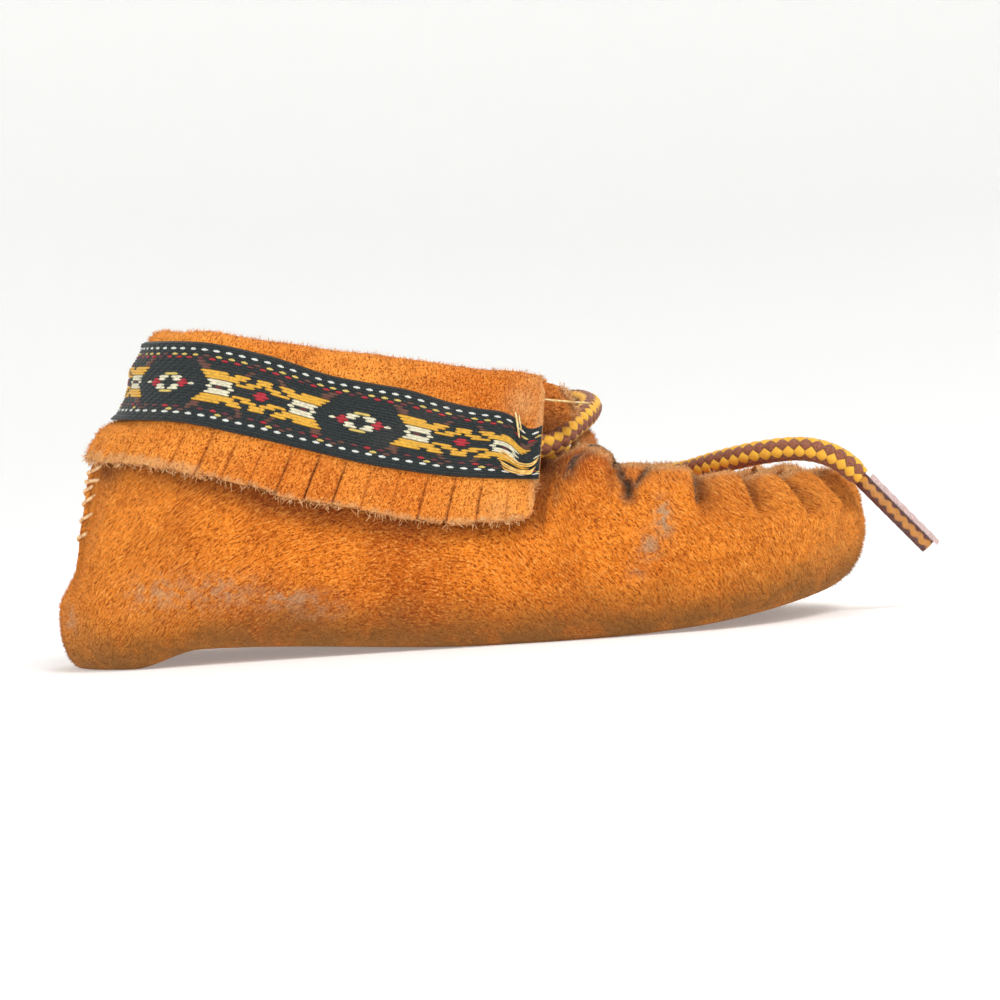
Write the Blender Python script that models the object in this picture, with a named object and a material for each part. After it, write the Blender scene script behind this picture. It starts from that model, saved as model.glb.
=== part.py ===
"""A child's soft moccasin bootie in suede, one shoe, standing empty on its sole.

+X points to the toe, +Y to the wearer's left and +Z up. The origin lies on the floor under the
middle of the shoe. Lengths are in millimetres and MM turns them into Blender's metres.

Every leather piece is a surface laid over a grid of columns and rows, then thickened inward.
A column is a "turn" round the shoe: 0 at the heel seam, 0.5 at the tip of the toe, positive on
the right side (-Y) and negative on the left. "Along" is a turn's place between the heel and
the toe, from 0 to 1, and the tables of sections are read with it.
"""

import math
from collections import namedtuple

import bmesh
import bpy
from mathutils import Vector

MM = 0.001

# Driving sizes
HEEL_BACK, TOE_TIP = -63.5, 63.5
WALL = 1.5
CUFF_WALL = 1.4
PLUG_WALL = 1.5
TONGUE_WALL = 1.4
INSOLE_WALL, INSOLE_INSET, INSOLE_GAP = 1.6, 1.8, 0.5
RIBBON_WALL, RIBBON_STAND_OFF = 0.7, 1.2
GAP = 0.35
LACE_RADIUS = 1.75
AGLET_RADIUS = 1.55
AGLET_LENGTH = 14.5

# Where each outline of the shoe ends at the heel and at the toe
ENDS = {"sole": (-60.5, 57.5), "belly": (HEEL_BACK, TOE_TIP), "rim": (-47.0, 59.5)}

# Half widths of the sole's edge, of the widest line low on the sides and of the upper edge,
# and the height of that widest line above the sole
Section = namedtuple("Section", "along sole belly rim belly_height")
SECTIONS = [
    Section(0.00, 15.0, 19.0, 14.0, 9.0),
    Section(0.10, 17.0, 20.5, 16.0, 9.0),
    Section(0.25, 18.5, 21.5, 18.0, 9.0),
    Section(0.40, 19.5, 23.0, 18.5, 9.0),
    Section(0.55, 21.5, 25.5, 17.5, 9.5),
    Section(0.65, 23.5, 27.5, 15.5, 9.5),
    Section(0.80, 24.0, 28.0, 16.0, 9.5),
    Section(0.92, 22.0, 26.0, 14.0, 9.0),
    Section(1.00, 19.0, 23.0, 12.0, 8.5),
]
HEEL_ROUND, TOE_ROUND = 0.15, 0.19  # the shares of the length that round the two ends take

# Heights of the folded cuff's lines: its fold, the ribbon's two edges and its hem
Cuff = namedtuple("Cuff", "along fold ribbon_high ribbon_low hem")
CUFF = [
    Cuff(0.000, 51.9, 49.8, 38.5, 32.4),
    Cuff(0.100, 51.2, 48.8, 37.3, 30.3),
    Cuff(0.200, 49.2, 46.3, 34.6, 26.8),
    Cuff(0.300, 46.8, 43.0, 31.2, 22.9),
    Cuff(0.400, 44.2, 39.4, 27.9, 20.1),
    Cuff(0.500, 41.8, 35.4, 25.6, 18.3),
    Cuff(0.600, 39.6, 32.0, 24.4, 18.4),
]
CUFF_FRONT = CUFF[-1].along
FOLD_RADIUS = 2.7  # outer radius of the roll at the top of the cuff
FOLD_ROOM = 1.9  # from the cuff's outer face in to the wall that it hangs over
FOLD_DROP = 2.8  # from the top of the fold down to that wall's edge
FOLD_TURN, FOLD_TURN_FRONT = 180, 145  # degrees that the roll turns at the back and at the front
INNER_LEG, INNER_LEG_FRONT = 6.5, 0.4  # how far the cuff is turned down inside the collar
INNER_LEG_END = (0.30, 0.40)  # where the long leg at the back runs out into the short one
HEM_STAND_OFF = 2.0  # how far the hem's outer face stands off the side

# Heights of the gathered edge, from the front of the collar down to the throat and on to the toe
Rim = namedtuple("Rim", "along height")
RIM = [
    Rim(0.500, 38.7),
    Rim(0.524, 32.8),
    Rim(0.550, 27.0),
    Rim(0.590, 24.6),
    Rim(0.622, 25.0),
    Rim(0.656, 27.4),
    Rim(0.695, 25.6),
    Rim(0.770, 25.0),
    Rim(0.840, 24.6),
    Rim(0.910, 23.5),
    Rim(0.970, 22.0),
    Rim(1.000, 21.2),
]

# The drawn-in valleys between the puckers, by their place along the gathered edge
VALLEYS = [0.618, 0.682, 0.772, 0.841, 0.911, 0.968, 0.996]
PUCKER_BULGE = 1.1
PUCKER_RISE = 1.2

# The sole leaves the floor under the arch, steeply in front of the heel, and towards the toe
SPRING_START, SPRING_HEIGHT, SPRING_POWER = 20.0, 5.2, 2.0
ARCH_BACK, ARCH_TOP, ARCH_FRONT, ARCH_HEIGHT = -50.0, -39.0, 6.0, 2.4

# The pocket between side and cuff in which the lace runs
POCKET_DEPTH = 5.0
POCKET_START, POCKET_END = (0.38, 0.45), (0.575, 0.62)
POCKET_LOW, POCKET_HIGH = (21.4, 25.6), (34.4, 37.4)

PLUG_REAR = 24.5
PLUG_FRONT = 0.94
PLUG_TUCK = 0.2  # how far the plug reaches under the gathered edge
PLUG_DROP = 2.9
PLUG_DISH = 2.1
TONGUE_HALF_WIDTH = 9.5
TONGUE_CURVE = 2.4

ORANGE = (0.58, 0.16, 0.025)
DEEP_ORANGE = (0.50, 0.13, 0.02)


def read(table, column, at):
    """The column's value at a place along the table, on a smooth curve with no overshoot."""
    xs = [row.along for row in table]
    ys = [getattr(row, column) for row in table]
    at = min(max(at, xs[0]), xs[-1])
    steps = [(b - a) / (xb - xa) for a, b, xa, xb in zip(ys, ys[1:], xs, xs[1:])]
    slopes = [steps[0]]
    for left, right in zip(steps, steps[1:]):
        slopes.append(2 * left * right / (left + right) if left * right > 0 else 0.0)
    slopes.append(steps[-1])
    i = max(k for k in range(len(xs) - 1) if xs[k] <= at)
    width = xs[i + 1] - xs[i]
    t = (at - xs[i]) / width
    return (
        ys[i] * (1 + 2 * t) * (1 - t) ** 2
        + slopes[i] * width * t * (1 - t) ** 2
        + ys[i + 1] * t * t * (3 - 2 * t)
        + slopes[i + 1] * width * t * t * (t - 1)
    )


def smooth(low, high, value):
    t = min(max((value - low) / (high - low), 0.0), 1.0)
    return t * t * (3 - 2 * t)


def along_of(turn):
    return (1 - math.cos(2 * math.pi * turn)) / 2


def turn_of(along):
    return math.acos(1 - 2 * along) / (2 * math.pi)


def rounded(along):
    """The share of the half width that is left near the round heel and toe."""
    heel = max(0.0, 1 - along / HEEL_ROUND)
    toe = max(0.0, 1 - (1 - along) / TOE_ROUND)
    return math.sqrt(max(0.0, 1 - heel**2)) * math.sqrt(max(0.0, 1 - toe**2))


def outline(level, turn):
    """A point of one of the shoe's plan outlines."""
    along = along_of(turn)
    heel, toe = ENDS[level]
    half = read(SECTIONS, level, along) * rounded(along)
    y = -math.copysign(half, math.sin(2 * math.pi * turn))
    return Vector((heel + (toe - heel) * along, y, 0.0))


def floor_lift(x):
    """How far the sole's underside is off the floor at x."""
    spring = max(0.0, (x - SPRING_START) / (TOE_TIP - SPRING_START))
    arch = smooth(ARCH_BACK, ARCH_TOP, x) * (1 - smooth(ARCH_TOP, ARCH_FRONT, x))
    return SPRING_HEIGHT * spring**SPRING_POWER + ARCH_HEIGHT * arch


def fold_height(turn):
    return read(CUFF, "fold", along_of(turn))


def rim_height(turn):
    """The upper edge of the wrapped side: under the cuff's fold, then the throat and vamp."""
    along = along_of(turn)
    if along <= RIM[0].along:
        return fold_height(turn) - FOLD_DROP
    return read(RIM, "height", along)


def outward(turn, levels=("belly", "rim")):
    """The level direction out of the shoe at a column, square to the mean of some outlines."""
    tangent = Vector()
    for level in levels:
        tangent += outline(level, turn + 0.002) - outline(level, turn - 0.002)
    return Vector((tangent.y, -tangent.x, 0.0)).normalized()


def widest_height(turn):
    return floor_lift(outline("belly", turn).x) + read(SECTIONS, "belly_height", along_of(turn))


def side(turn, height, top):
    """The nominal side at a height; from its widest line it leans in to the rim's outline at top."""
    base = widest_height(turn)
    rise = (height - base) / (top - base)
    vamp = smooth(0.50, 0.66, along_of(turn))
    lean = (1 - vamp) * smooth(0.05, 1.0, rise) + vamp * (1 - math.sqrt(max(0.0, 1 - rise**2.2)))
    point = outline("belly", turn).lerp(outline("rim", turn), lean)
    point.z = height
    return point


def pucker(turn):
    """0 in a valley of the gathers and 1 on a crest; None behind the first valley."""
    marks = [turn_of(valley) for valley in VALLEYS]
    marks.append(1 - marks[-1])
    for near, far in zip(marks, marks[1:]):
        if near <= abs(turn) <= far:
            return max(0.0, math.sin(math.pi * (abs(turn) - near) / (far - near))) ** 0.8
    return None


def body_point(turn, row):
    """The outer face of the wrapped sole and sides."""
    kind, share = row
    edge = outline("sole", turn)
    if kind == "sole":
        return Vector((edge.x, edge.y * share, floor_lift(edge.x)))
    if kind == "curve":
        widest = outline("belly", turn)
        point = edge.lerp(widest, math.sin(share * math.pi / 2))
        height = read(SECTIONS, "belly_height", along_of(turn))
        point.z = floor_lift(point.x) + height * (1 - math.cos(share * math.pi / 2))
        return point
    base, rim = widest_height(turn), rim_height(turn)
    top = rim + FOLD_DROP * (1 - smooth(0.45, 0.55, along_of(turn)))
    point = side(turn, base + (rim - base) * share, top)
    point -= outward(turn) * under_cuff(turn, point.z)
    crest = pucker(turn)
    if crest is not None:
        bulge = PUCKER_BULGE * smooth(0.45, 0.85, share) * (1 - smooth(0.85, 1.0, share))
        point += outward(turn) * bulge * (crest - 0.5)
        point.z += PUCKER_RISE * (crest - 0.5) * smooth(0.6, 1.0, share)
    return point


def under_cuff(turn, height):
    """How far the side steps in below the cuff, and further in at the lace's pocket."""
    along = along_of(turn)
    hem, fold = read(CUFF, "hem", along), read(CUFF, "fold", along)
    covered = 1 - smooth(*POCKET_END, along)
    step_in = FOLD_ROOM * smooth(hem, fold - FOLD_RADIUS, height)
    pocket = smooth(*POCKET_START, along) * smooth(*POCKET_LOW, height)
    return covered * (step_in + POCKET_DEPTH * pocket * (1 - smooth(*POCKET_HIGH, height)))


def cuff_outer(turn, height):
    """The cuff's outer face at a height between its hem and its fold."""
    top, hem = fold_height(turn), read(CUFF, "hem", along_of(turn))
    stand_off = HEM_STAND_OFF * (1 - smooth(hem, top - FOLD_RADIUS, height))
    return side(turn, height, top) + outward(turn) * stand_off


def cuff_point(turn, row):
    kind, share = row
    straight = fold_height(turn) - FOLD_RADIUS
    hem = read(CUFF, "hem", along_of(turn))
    if kind == "outside":
        return cuff_outer(turn, hem + (straight - hem) * share)
    front = smooth(*INNER_LEG_END, along_of(turn))
    angle = math.radians(FOLD_TURN + (FOLD_TURN_FRONT - FOLD_TURN) * front)
    leg = INNER_LEG + (INNER_LEG_FRONT - INNER_LEG) * front
    if kind == "fold":
        angle, leg = angle * share, 0.0
    point = cuff_outer(turn, straight)
    point -= outward(turn) * (FOLD_RADIUS * (1 - math.cos(angle)) + leg * share * math.sin(angle))
    point.z += FOLD_RADIUS * math.sin(angle) + leg * share * math.cos(angle)
    return point


def ribbon_point(turn, share):
    low = read(CUFF, "ribbon_low", along_of(turn))
    high = min(read(CUFF, "ribbon_high", along_of(turn)), fold_height(turn) - FOLD_RADIUS)
    point = cuff_outer(turn, low + (high - low) * share)
    return point + outward(turn) * RIBBON_STAND_OFF


def plug_height(x, across):
    """The plug's upper face; across is 0 on its middle line and 1 at its edge."""
    heel, toe = ENDS["rim"]
    edge = rim_height(turn_of(min((x - heel) / (toe - heel), 1.0)))
    return edge - PLUG_DROP - PLUG_DISH * (1 - across**2)


def plug_point(across, turn):
    edge = outline("rim", turn) + outward(turn, ["rim"]) * PLUG_TUCK
    return Vector((edge.x, -edge.y * across, plug_height(edge.x, abs(across))))


Fold = namedtuple("Fold", "along x z width")
TONGUE = [
    Fold(0.00, 34.0, 17.6, 0.90),
    Fold(0.20, 29.0, 17.9, 1.00),
    Fold(0.33, 25.3, 18.4, 1.00),
    Fold(0.46, 22.7, 22.0, 0.98),
    Fold(0.57, 22.2, 26.2, 0.97),
    Fold(0.68, 21.4, 29.0, 0.96),
    Fold(0.80, 19.7, 32.0, 0.93),
    Fold(0.91, 19.2, 34.6, 0.86),
    Fold(1.00, 19.4, 36.6, 0.66),
]


def tongue_point(across, along):
    """The tongue's front face: from under the plug up behind the lace."""
    half = TONGUE_HALF_WIDTH * read(TONGUE, "width", along)
    standing = smooth(0.25, 0.6, along)
    x = read(TONGUE, "x", along) - TONGUE_CURVE * across**2 * standing
    z = read(TONGUE, "z", along) - 0.6 * across**2 * (1 - standing)
    return Vector((x, half * across, z))


def insole_point(turn, share):
    edge = outline("sole", turn) - outward(turn, ["sole"]) * INSOLE_INSET
    return Vector((edge.x, edge.y * share, floor_lift(edge.x) + WALL + INSOLE_GAP + INSOLE_WALL))


def material(name, colour, roughness):
    made = bpy.data.materials.new(name)
    made.use_nodes = True
    shader = made.node_tree.nodes["Principled BSDF"]
    shader.inputs["Base Color"].default_value = (*colour, 1)
    shader.inputs["Roughness"].default_value = roughness
    made.diffuse_color = (*colour, 1)
    return made


def show(name, data, colour, roughness):
    made = bpy.data.objects.new(name, data)
    bpy.context.scene.collection.objects.link(made)
    made.data.materials.append(material(name, colour, roughness))
    return made


def leather(name, columns, rows, place, wall, colour, roughness=0.9):
    """Lays a grid over the outer face with place(column, row) and thickens it inward."""
    bm = bmesh.new()
    across, up = len(columns) - 1, len(rows) - 1
    bmesh.ops.create_grid(bm, x_segments=across, y_segments=up, size=1)
    for vert in bm.verts:
        column = columns[round((vert.co.x + 1) / 2 * across)]
        row = rows[round((vert.co.y + 1) / 2 * up)]
        vert.co = place(column, row) * MM
    bmesh.ops.remove_doubles(bm, verts=bm.verts, dist=0.01 * MM)
    mesh = bpy.data.meshes.new(name)
    bm.to_mesh(mesh)
    bm.free()
    mesh.shade_smooth()
    made = show(name, mesh, colour, roughness)
    thicken = made.modifiers.new("Wall", "SOLIDIFY")
    thicken.thickness = wall * MM
    thicken.offset = -1
    thicken.use_even_offset = True
    return made


def cord(name, route, radius, colour):
    """A round tube along a smooth curve through the route's points."""
    points = []
    ends = [route[0] * 2 - route[1], *route, route[-1] * 2 - route[-2]]
    for a, b, c, d in zip(ends, ends[1:], ends[2:], ends[3:]):
        steps = max(1, round((c - b).length / (4.4 * radius)))
        bend, twist = a * 2 - b * 5 + c * 4 - d, b * 3 - a - c * 3 + d
        for t in even(0.0, 1.0, steps)[:-1]:
            points.append((b * 2 + (c - a) * t + bend * t**2 + twist * t**3) / 2)
    points.append(route[-1])
    curve = bpy.data.curves.new(name, "CURVE")
    curve.dimensions = "3D"
    curve.bevel_depth = radius * MM
    curve.bevel_resolution = 2
    curve.use_fill_caps = True
    line = curve.splines.new("POLY")
    line.points.add(len(points) - 1)
    for spot, point in zip(line.points, points):
        spot.co = (*(point * MM), 1)
    return show(name, curve, colour, 0.6)


def even(start, stop, count):
    return [start + (stop - start) * k / count for k in range(count + 1)]


def right_columns():
    """Turns from the heel seam to the toe; the puckers have four columns each."""
    turns = even(0.0, turn_of(RIM[0].along), 15)
    turns += even(turns[-1], turn_of(CUFF_FRONT), 5)[1:]
    turns += even(turns[-1], turn_of(VALLEYS[0]), 2)[1:]
    marks = [turn_of(valley) for valley in VALLEYS] + [0.5]
    for near, far in zip(marks, marks[1:]):
        turns += even(near, far, 2 if far == 0.5 else 4)[1:]
    return turns


def mirrored(turns):
    return [-turn for turn in reversed(turns[1:])] + turns


def wrapped_body():
    rows = [("sole", share) for share in (0.0, 0.35, 0.7, 1.0)]
    rows += [("curve", share) for share in (0.33, 0.66, 1.0)]
    rows += [("side", rise) for rise in (0.14, 0.28, 0.42, 0.54, 0.66, 0.77, 0.86, 0.93, 0.98, 1.0)]
    leather("wrapped_sole_and_sides", mirrored(right_columns()), rows, body_point, WALL, ORANGE)


def cuff_columns():
    return mirrored([turn for turn in right_columns() if along_of(turn) < CUFF_FRONT + 1e-6])


def folded_cuff():
    rows = [("outside", share) for share in even(0.0, 1.0, 6)]
    rows += [("fold", share) for share in even(0.0, 1.0, 6)[1:]]
    rows += [("inside", share) for share in (0.5, 1.0)]
    leather("folded_cuff", cuff_columns(), rows, cuff_point, CUFF_WALL, DEEP_ORANGE)


def woven_ribbon():
    teal = (0.03, 0.06, 0.06)
    leather("woven_ribbon", cuff_columns(), even(0.0, 1.0, 3), ribbon_point, RIBBON_WALL, teal, 0.7)


def vamp_plug():
    heel, toe = ENDS["rim"]
    rear = turn_of((PLUG_REAR - heel) / (toe - heel))
    turns = [rear] + [turn for turn in right_columns() if rear < turn < 0.5 * PLUG_FRONT]
    leather("vamp_plug", even(1.0, -1.0, 8), turns, plug_point, PLUG_WALL, ORANGE)


def tongue():
    leather("tongue", even(-1.0, 1.0, 8), even(0.0, 1.0, 14), tongue_point, TONGUE_WALL, ORANGE)


def insole():
    brown = (0.45, 0.20, 0.07)
    columns = mirrored(even(0.0, 0.5, 28))
    leather("insole", columns[::-1], (0.0, 0.4, 0.75, 1.0), insole_point, INSOLE_WALL, brown)


# The lace's routes, in millimetres: each starts in the pocket under a front edge of the cuff
LACE_LOOP = [
    (-3.0, -17.2, 30.8),
    (4.5, -17.0, 30.6),
    (12.3, -16.5, 30.4),
    (18.0, -12.4, 31.5),
    (21.8, -5.0, 33.3),
    (22.2, 2.0, 34.5),
    (19.6, 9.5, 35.3),
    (13.8, 14.0, 34.7),
    (6.0, 16.0, 33.0),
    (-1.5, 16.2, 32.4),
]
LACE_END = [
    (-3.0, 18.0, 28.5),
    (4.5, 18.0, 28.3),
    (11.0, 17.0, 28.1),
    (16.0, 14.8, 27.4),
    (21.0, 12.2, 26.1),
    (26.0, 8.4, 24.5),
    (31.5, 4.4, 23.4),
    (37.0, 0.0, 23.7),
    (42.5, -4.6, 24.5),
    (48.5, -8.2, 25.4),
    (54.5, -9.8, 25.4),
    (59.2, -10.4, 23.7),
    (62.8, -10.8, 20.4),
]
AGLET_AIM = (11.3, 0.5, -13.2)


def laces():
    gold = (0.80, 0.42, 0.05)
    loop = [Vector(point) for point in LACE_LOOP]
    end = [Vector(point) for point in LACE_END]
    cord("lace_loop", loop, LACE_RADIUS, gold)
    cord("lace_end", end, LACE_RADIUS, gold)
    aim = Vector(AGLET_AIM).normalized()
    start = end[-1] + aim * 2 * GAP
    cord("lace_aglet", [start, start + aim * AGLET_LENGTH], AGLET_RADIUS, (0.75, 0.5, 0.4))


def main():
    for old in list(bpy.data.objects):
        bpy.data.objects.remove(old)
    wrapped_body()
    insole()
    vamp_plug()
    tongue()
    folded_cuff()
    woven_ribbon()
    laces()


main()
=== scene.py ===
# %% [markdown]
# # A child's moccasin bootie
#
# A soft shoe for an infant, 127 mm long. One piece of suede is the sole and folds up round the foot.
# It is whip-stitched up the heel and gathered round the toe, where an inset plug closes the top. A
# folded suede cuff with a fringed hem stands round the ankle, with a woven band sewn on it, and a
# round lace comes out from under the cuff, goes round the tongue and lies over the toe.
#
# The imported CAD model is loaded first. It fixes where everything is: each piece below takes the
# place of one of its nodes, with the same outlines and much finer work. Lengths are written in
# millimetres, as a shoemaker would measure them, and MM turns them into Blender's metres.

import math
import random
from collections import namedtuple
from functools import lru_cache

import bmesh
import bpy
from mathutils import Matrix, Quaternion, Vector, noise


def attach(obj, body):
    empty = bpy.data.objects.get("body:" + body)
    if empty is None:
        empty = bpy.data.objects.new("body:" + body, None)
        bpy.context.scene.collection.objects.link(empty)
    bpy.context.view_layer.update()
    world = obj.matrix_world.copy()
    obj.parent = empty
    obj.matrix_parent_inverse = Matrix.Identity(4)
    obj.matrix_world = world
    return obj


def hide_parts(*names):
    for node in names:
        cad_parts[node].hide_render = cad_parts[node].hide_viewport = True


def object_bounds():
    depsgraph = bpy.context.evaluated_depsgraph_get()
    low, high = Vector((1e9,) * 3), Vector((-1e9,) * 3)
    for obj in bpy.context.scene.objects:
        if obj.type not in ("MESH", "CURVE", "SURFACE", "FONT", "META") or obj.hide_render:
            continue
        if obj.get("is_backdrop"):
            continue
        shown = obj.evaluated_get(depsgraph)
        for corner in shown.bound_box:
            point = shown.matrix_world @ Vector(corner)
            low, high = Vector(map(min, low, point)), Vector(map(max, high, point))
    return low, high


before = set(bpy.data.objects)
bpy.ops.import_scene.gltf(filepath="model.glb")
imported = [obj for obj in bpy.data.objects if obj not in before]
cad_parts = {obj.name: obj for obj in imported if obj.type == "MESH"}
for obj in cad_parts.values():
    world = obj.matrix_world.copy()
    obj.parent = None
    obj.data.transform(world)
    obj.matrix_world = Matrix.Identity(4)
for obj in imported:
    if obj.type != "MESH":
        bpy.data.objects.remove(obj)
cad_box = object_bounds()
MM = 0.001
chance = random.Random(11)
print("nodes:", ", ".join(sorted(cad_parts)))
print("CAD box in mm:", [round(size / MM, 1) for size in cad_box[1] - cad_box[0]])

# %% [markdown]
# ## Camera
#
# The camera stands on the shoe's right side, a little above the floor, with a long lens so that the
# shoe keeps its real proportions. It is rolled by a few degrees, which makes the toe point slightly
# upwards in the view. `to_track_quat` aims it, and a turn about its own axis rolls it.

# %% Camera
EYE = Vector((23.7, -449.0, 32.0))
AIM = Vector((7.2, 0.0, 21.0))
ROLL = math.radians(4.5)
LENS = 103.3

camera_data = bpy.data.cameras.new("camera")
camera_data.lens = LENS
camera_data.clip_start, camera_data.clip_end = 0.02, 20
camera = bpy.data.objects.new("camera", camera_data)
camera.rotation_mode = "QUATERNION"
camera.location = EYE * MM
aimed = (AIM - EYE).to_track_quat("-Z", "Y")
camera.rotation_quaternion = aimed @ Quaternion((0, 0, 1), -ROLL)
bpy.context.scene.collection.objects.link(camera)
bpy.context.scene.camera = camera
bpy.context.scene.view_settings.view_transform = "Standard"
print("camera looks along", tuple(round(part, 3) for part in (AIM - EYE).normalized()))

# %% [markdown]
# ## Helpers for nodes
#
# Each material below is a small tree of nodes. `put` links or sets the inputs of a node, `node` adds
# one and does the same in one call, and the helpers after it stand for the steps that come again and
# again: mixing two colours, stretching a value between two limits, and simple arithmetic.


# %% Node helpers
def new_material(name):
    made = bpy.data.materials.new(name)
    made.use_nodes = True
    return made, made.node_tree, made.node_tree.nodes["Principled BSDF"]


def put(tree, made, inputs):
    """Gives a node's inputs a number, a colour or another node's output each."""
    for key, value in inputs.items():
        if isinstance(value, bpy.types.NodeSocket):
            tree.links.new(value, made.inputs[key])
        else:
            made.inputs[key].default_value = value


def node(tree, kind, inputs=None, prefix="ShaderNode", **settings):
    """Adds a node with its settings and its inputs."""
    made = tree.nodes.new(prefix + kind)
    for key, value in settings.items():
        setattr(made, key, value)
    put(tree, made, inputs or {})
    return made


def colour(red, green, blue):
    """A colour given as on a screen, from 0 to 255, turned into the linear one that nodes use."""
    parts = [part / 255 for part in (red, green, blue)]
    return (*[p / 12.92 if p <= 0.04 else ((p + 0.055) / 1.055) ** 2.4 for p in parts], 1.0)


def mix(tree, factor, first, second):
    """The first colour where the factor is 0, the second where it is 1."""
    made = node(tree, "Mix", {0: factor, 6: first, 7: second}, data_type="RGBA")
    return made.outputs[2]


def stretch(tree, value, low, high, to_low=0.0, to_high=1.0):
    """Spreads the range low to high smoothly over the range to_low to to_high."""
    made = node(
        tree,
        "MapRange",
        {"Value": value, 1: low, 2: high, 3: to_low, 4: to_high},
        interpolation_type="SMOOTHSTEP",
    )
    return made.outputs["Result"]


def sums(tree, how, first, second=0.0, third=0.0):
    """One step of arithmetic; only MULTIPLY_ADD reads the third value."""
    return node(tree, "Math", {0: first, 1: second, 2: third}, operation=how).outputs[0]


def grain(tree, place, scale, detail, roughness=0.5, distortion=0.0):
    """A noise of a given number of features per unit of its coordinates."""
    inputs = {"Vector": place, "Scale": scale, "Detail": detail}
    inputs |= {"Roughness": roughness, "Distortion": distortion}
    return node(tree, "TexNoise", inputs).outputs["Fac"]


def object_place(tree):
    """Where a point is in its object's own coordinates."""
    return node(tree, "TexCoord").outputs["Object"]


def uv_parts(tree, name):
    """The two coordinates of a UV map."""
    both = node(tree, "SeparateXYZ", {0: node(tree, "UVMap", uv_map=name).outputs["UV"]})
    return both.outputs[0], both.outputs[1]


def scaled(tree, place, x, y, z):
    return node(tree, "Mapping", {"Vector": place, "Scale": (x, y, z)}).outputs["Vector"]


def mark(tree, name, output="Fac"):
    """A value that was written on the mesh's vertices."""
    return node(tree, "Attribute", attribute_name=name).outputs[output]


def bump(tree, height, distance, strength, below=None):
    inputs = {"Height": height, "Distance": distance * MM, "Strength": strength}
    if below:
        inputs["Normal"] = below
    return node(tree, "Bump", inputs).outputs["Normal"]


# %% [markdown]
# ## Floor and light
#
# The shoe stands in the middle of a wide white bowl: a profile line spun round the vertical axis, so
# that the floor runs up into a pale wall with no corner, whichever way the camera looks. The bowl
# glows a little, like a light table, most of all under the shoe, which keeps its shadow pale. A large
# soft lamp hangs above the toe's side, weaker ones fill in from the heel's side and from behind, and
# a pale sky does the rest, so that shadows stay soft.


# %% Floor and light
def as_mesh(bm, name):
    """Turns a finished bmesh into a mesh with smooth shading."""
    mesh = bpy.data.meshes.new(name)
    bm.to_mesh(mesh)
    bm.free()
    mesh.shade_smooth()
    return mesh


def bowl(radius, bend, wall, steps=12, sides=96):
    """A flat disk whose edge bends up into a round wall."""
    bm = bmesh.new()
    profile = [bm.verts.new((0, 0, 0)), bm.verts.new((radius, 0, 0))]
    for step in range(1, steps + 1):
        angle = math.pi / 2 * step / steps
        place = (radius + bend * math.sin(angle), 0, bend * (1 - math.cos(angle)))
        profile.append(bm.verts.new(place))
    profile.append(bm.verts.new((radius + bend, 0, bend + wall)))
    edges = [bm.edges.new(pair) for pair in zip(profile, profile[1:])]
    bmesh.ops.spin(
        bm,
        geom=profile + edges,
        cent=(0, 0, 0),
        axis=(0, 0, 1),
        angle=math.tau,
        steps=sides,
        use_merge=True,
    )
    bmesh.ops.remove_doubles(bm, verts=bm.verts, dist=1e-5)
    bmesh.ops.recalc_face_normals(bm, faces=bm.faces)
    bmesh.ops.reverse_faces(bm, faces=bm.faces)
    return as_mesh(bm, "floor")


GLOW_NEAR, GLOW_FAR = 0.24, 0.185
floor = bpy.data.objects.new("floor", bowl(radius=1.1, bend=0.5, wall=1.0))
bpy.context.scene.collection.objects.link(floor)
floor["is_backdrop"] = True
white, tree, shader = new_material("white_floor")
away = node(tree, "VectorMath", {0: object_place(tree)}, operation="LENGTH")
looks = {"Base Color": (0.9, 0.9, 0.89, 1), "Roughness": 0.85, "Specular IOR Level": 0.2}
looks["Emission Color"] = (1.0, 0.995, 0.98, 1)
looks["Emission Strength"] = stretch(tree, away.outputs["Value"], 0.12, 1.2, GLOW_NEAR, GLOW_FAR)
put(tree, shader, looks)
floor.data.materials.append(white)
white.cycles.emission_sampling = "NONE"


def lamp(name, place, power, size, tint):
    data = bpy.data.lights.new(name, "AREA")
    data.shape, data.size, data.energy, data.color = "DISK", size, power, tint
    made = bpy.data.objects.new(name, data)
    made.location = place
    made.rotation_mode = "QUATERNION"
    made.rotation_quaternion = (-Vector(place)).to_track_quat("-Z", "Y")
    bpy.context.scene.collection.objects.link(made)


lamp("key", (0.5, -0.54, 0.96), 7.0, 0.5, (1.0, 0.985, 0.96))
lamp("fill", (-0.8, -0.6, 0.55), 2.6, 0.7, (0.97, 0.985, 1.0))
lamp("back", (0.1, 0.85, 0.8), 3.0, 0.8, (1.0, 1.0, 1.0))
world = bpy.data.worlds.new("sky")
world.use_nodes = True
sky = world.node_tree.nodes["Background"]
sky.inputs["Color"].default_value = (0.95, 0.97, 1.0, 1)
sky.inputs["Strength"].default_value = 0.32
bpy.context.scene.world = world
print("stage: a white bowl,", len(floor.data.polygons), "faces, and three lamps")

# %% [markdown]
# ## The shoe's own sizes
#
# The tables are the ones that the CAD solids were made from, so that each fine piece lies where its
# solid lies. A column of a leather piece is a "turn" round the shoe: 0 at the heel seam, 0.5 at the
# tip of the toe, up to 1 back at the heel on the other side. "Along" is a turn's place between heel
# and toe, from 0 to 1. Each curve is a short row of pairs: a place along the shoe, and its value.

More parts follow.
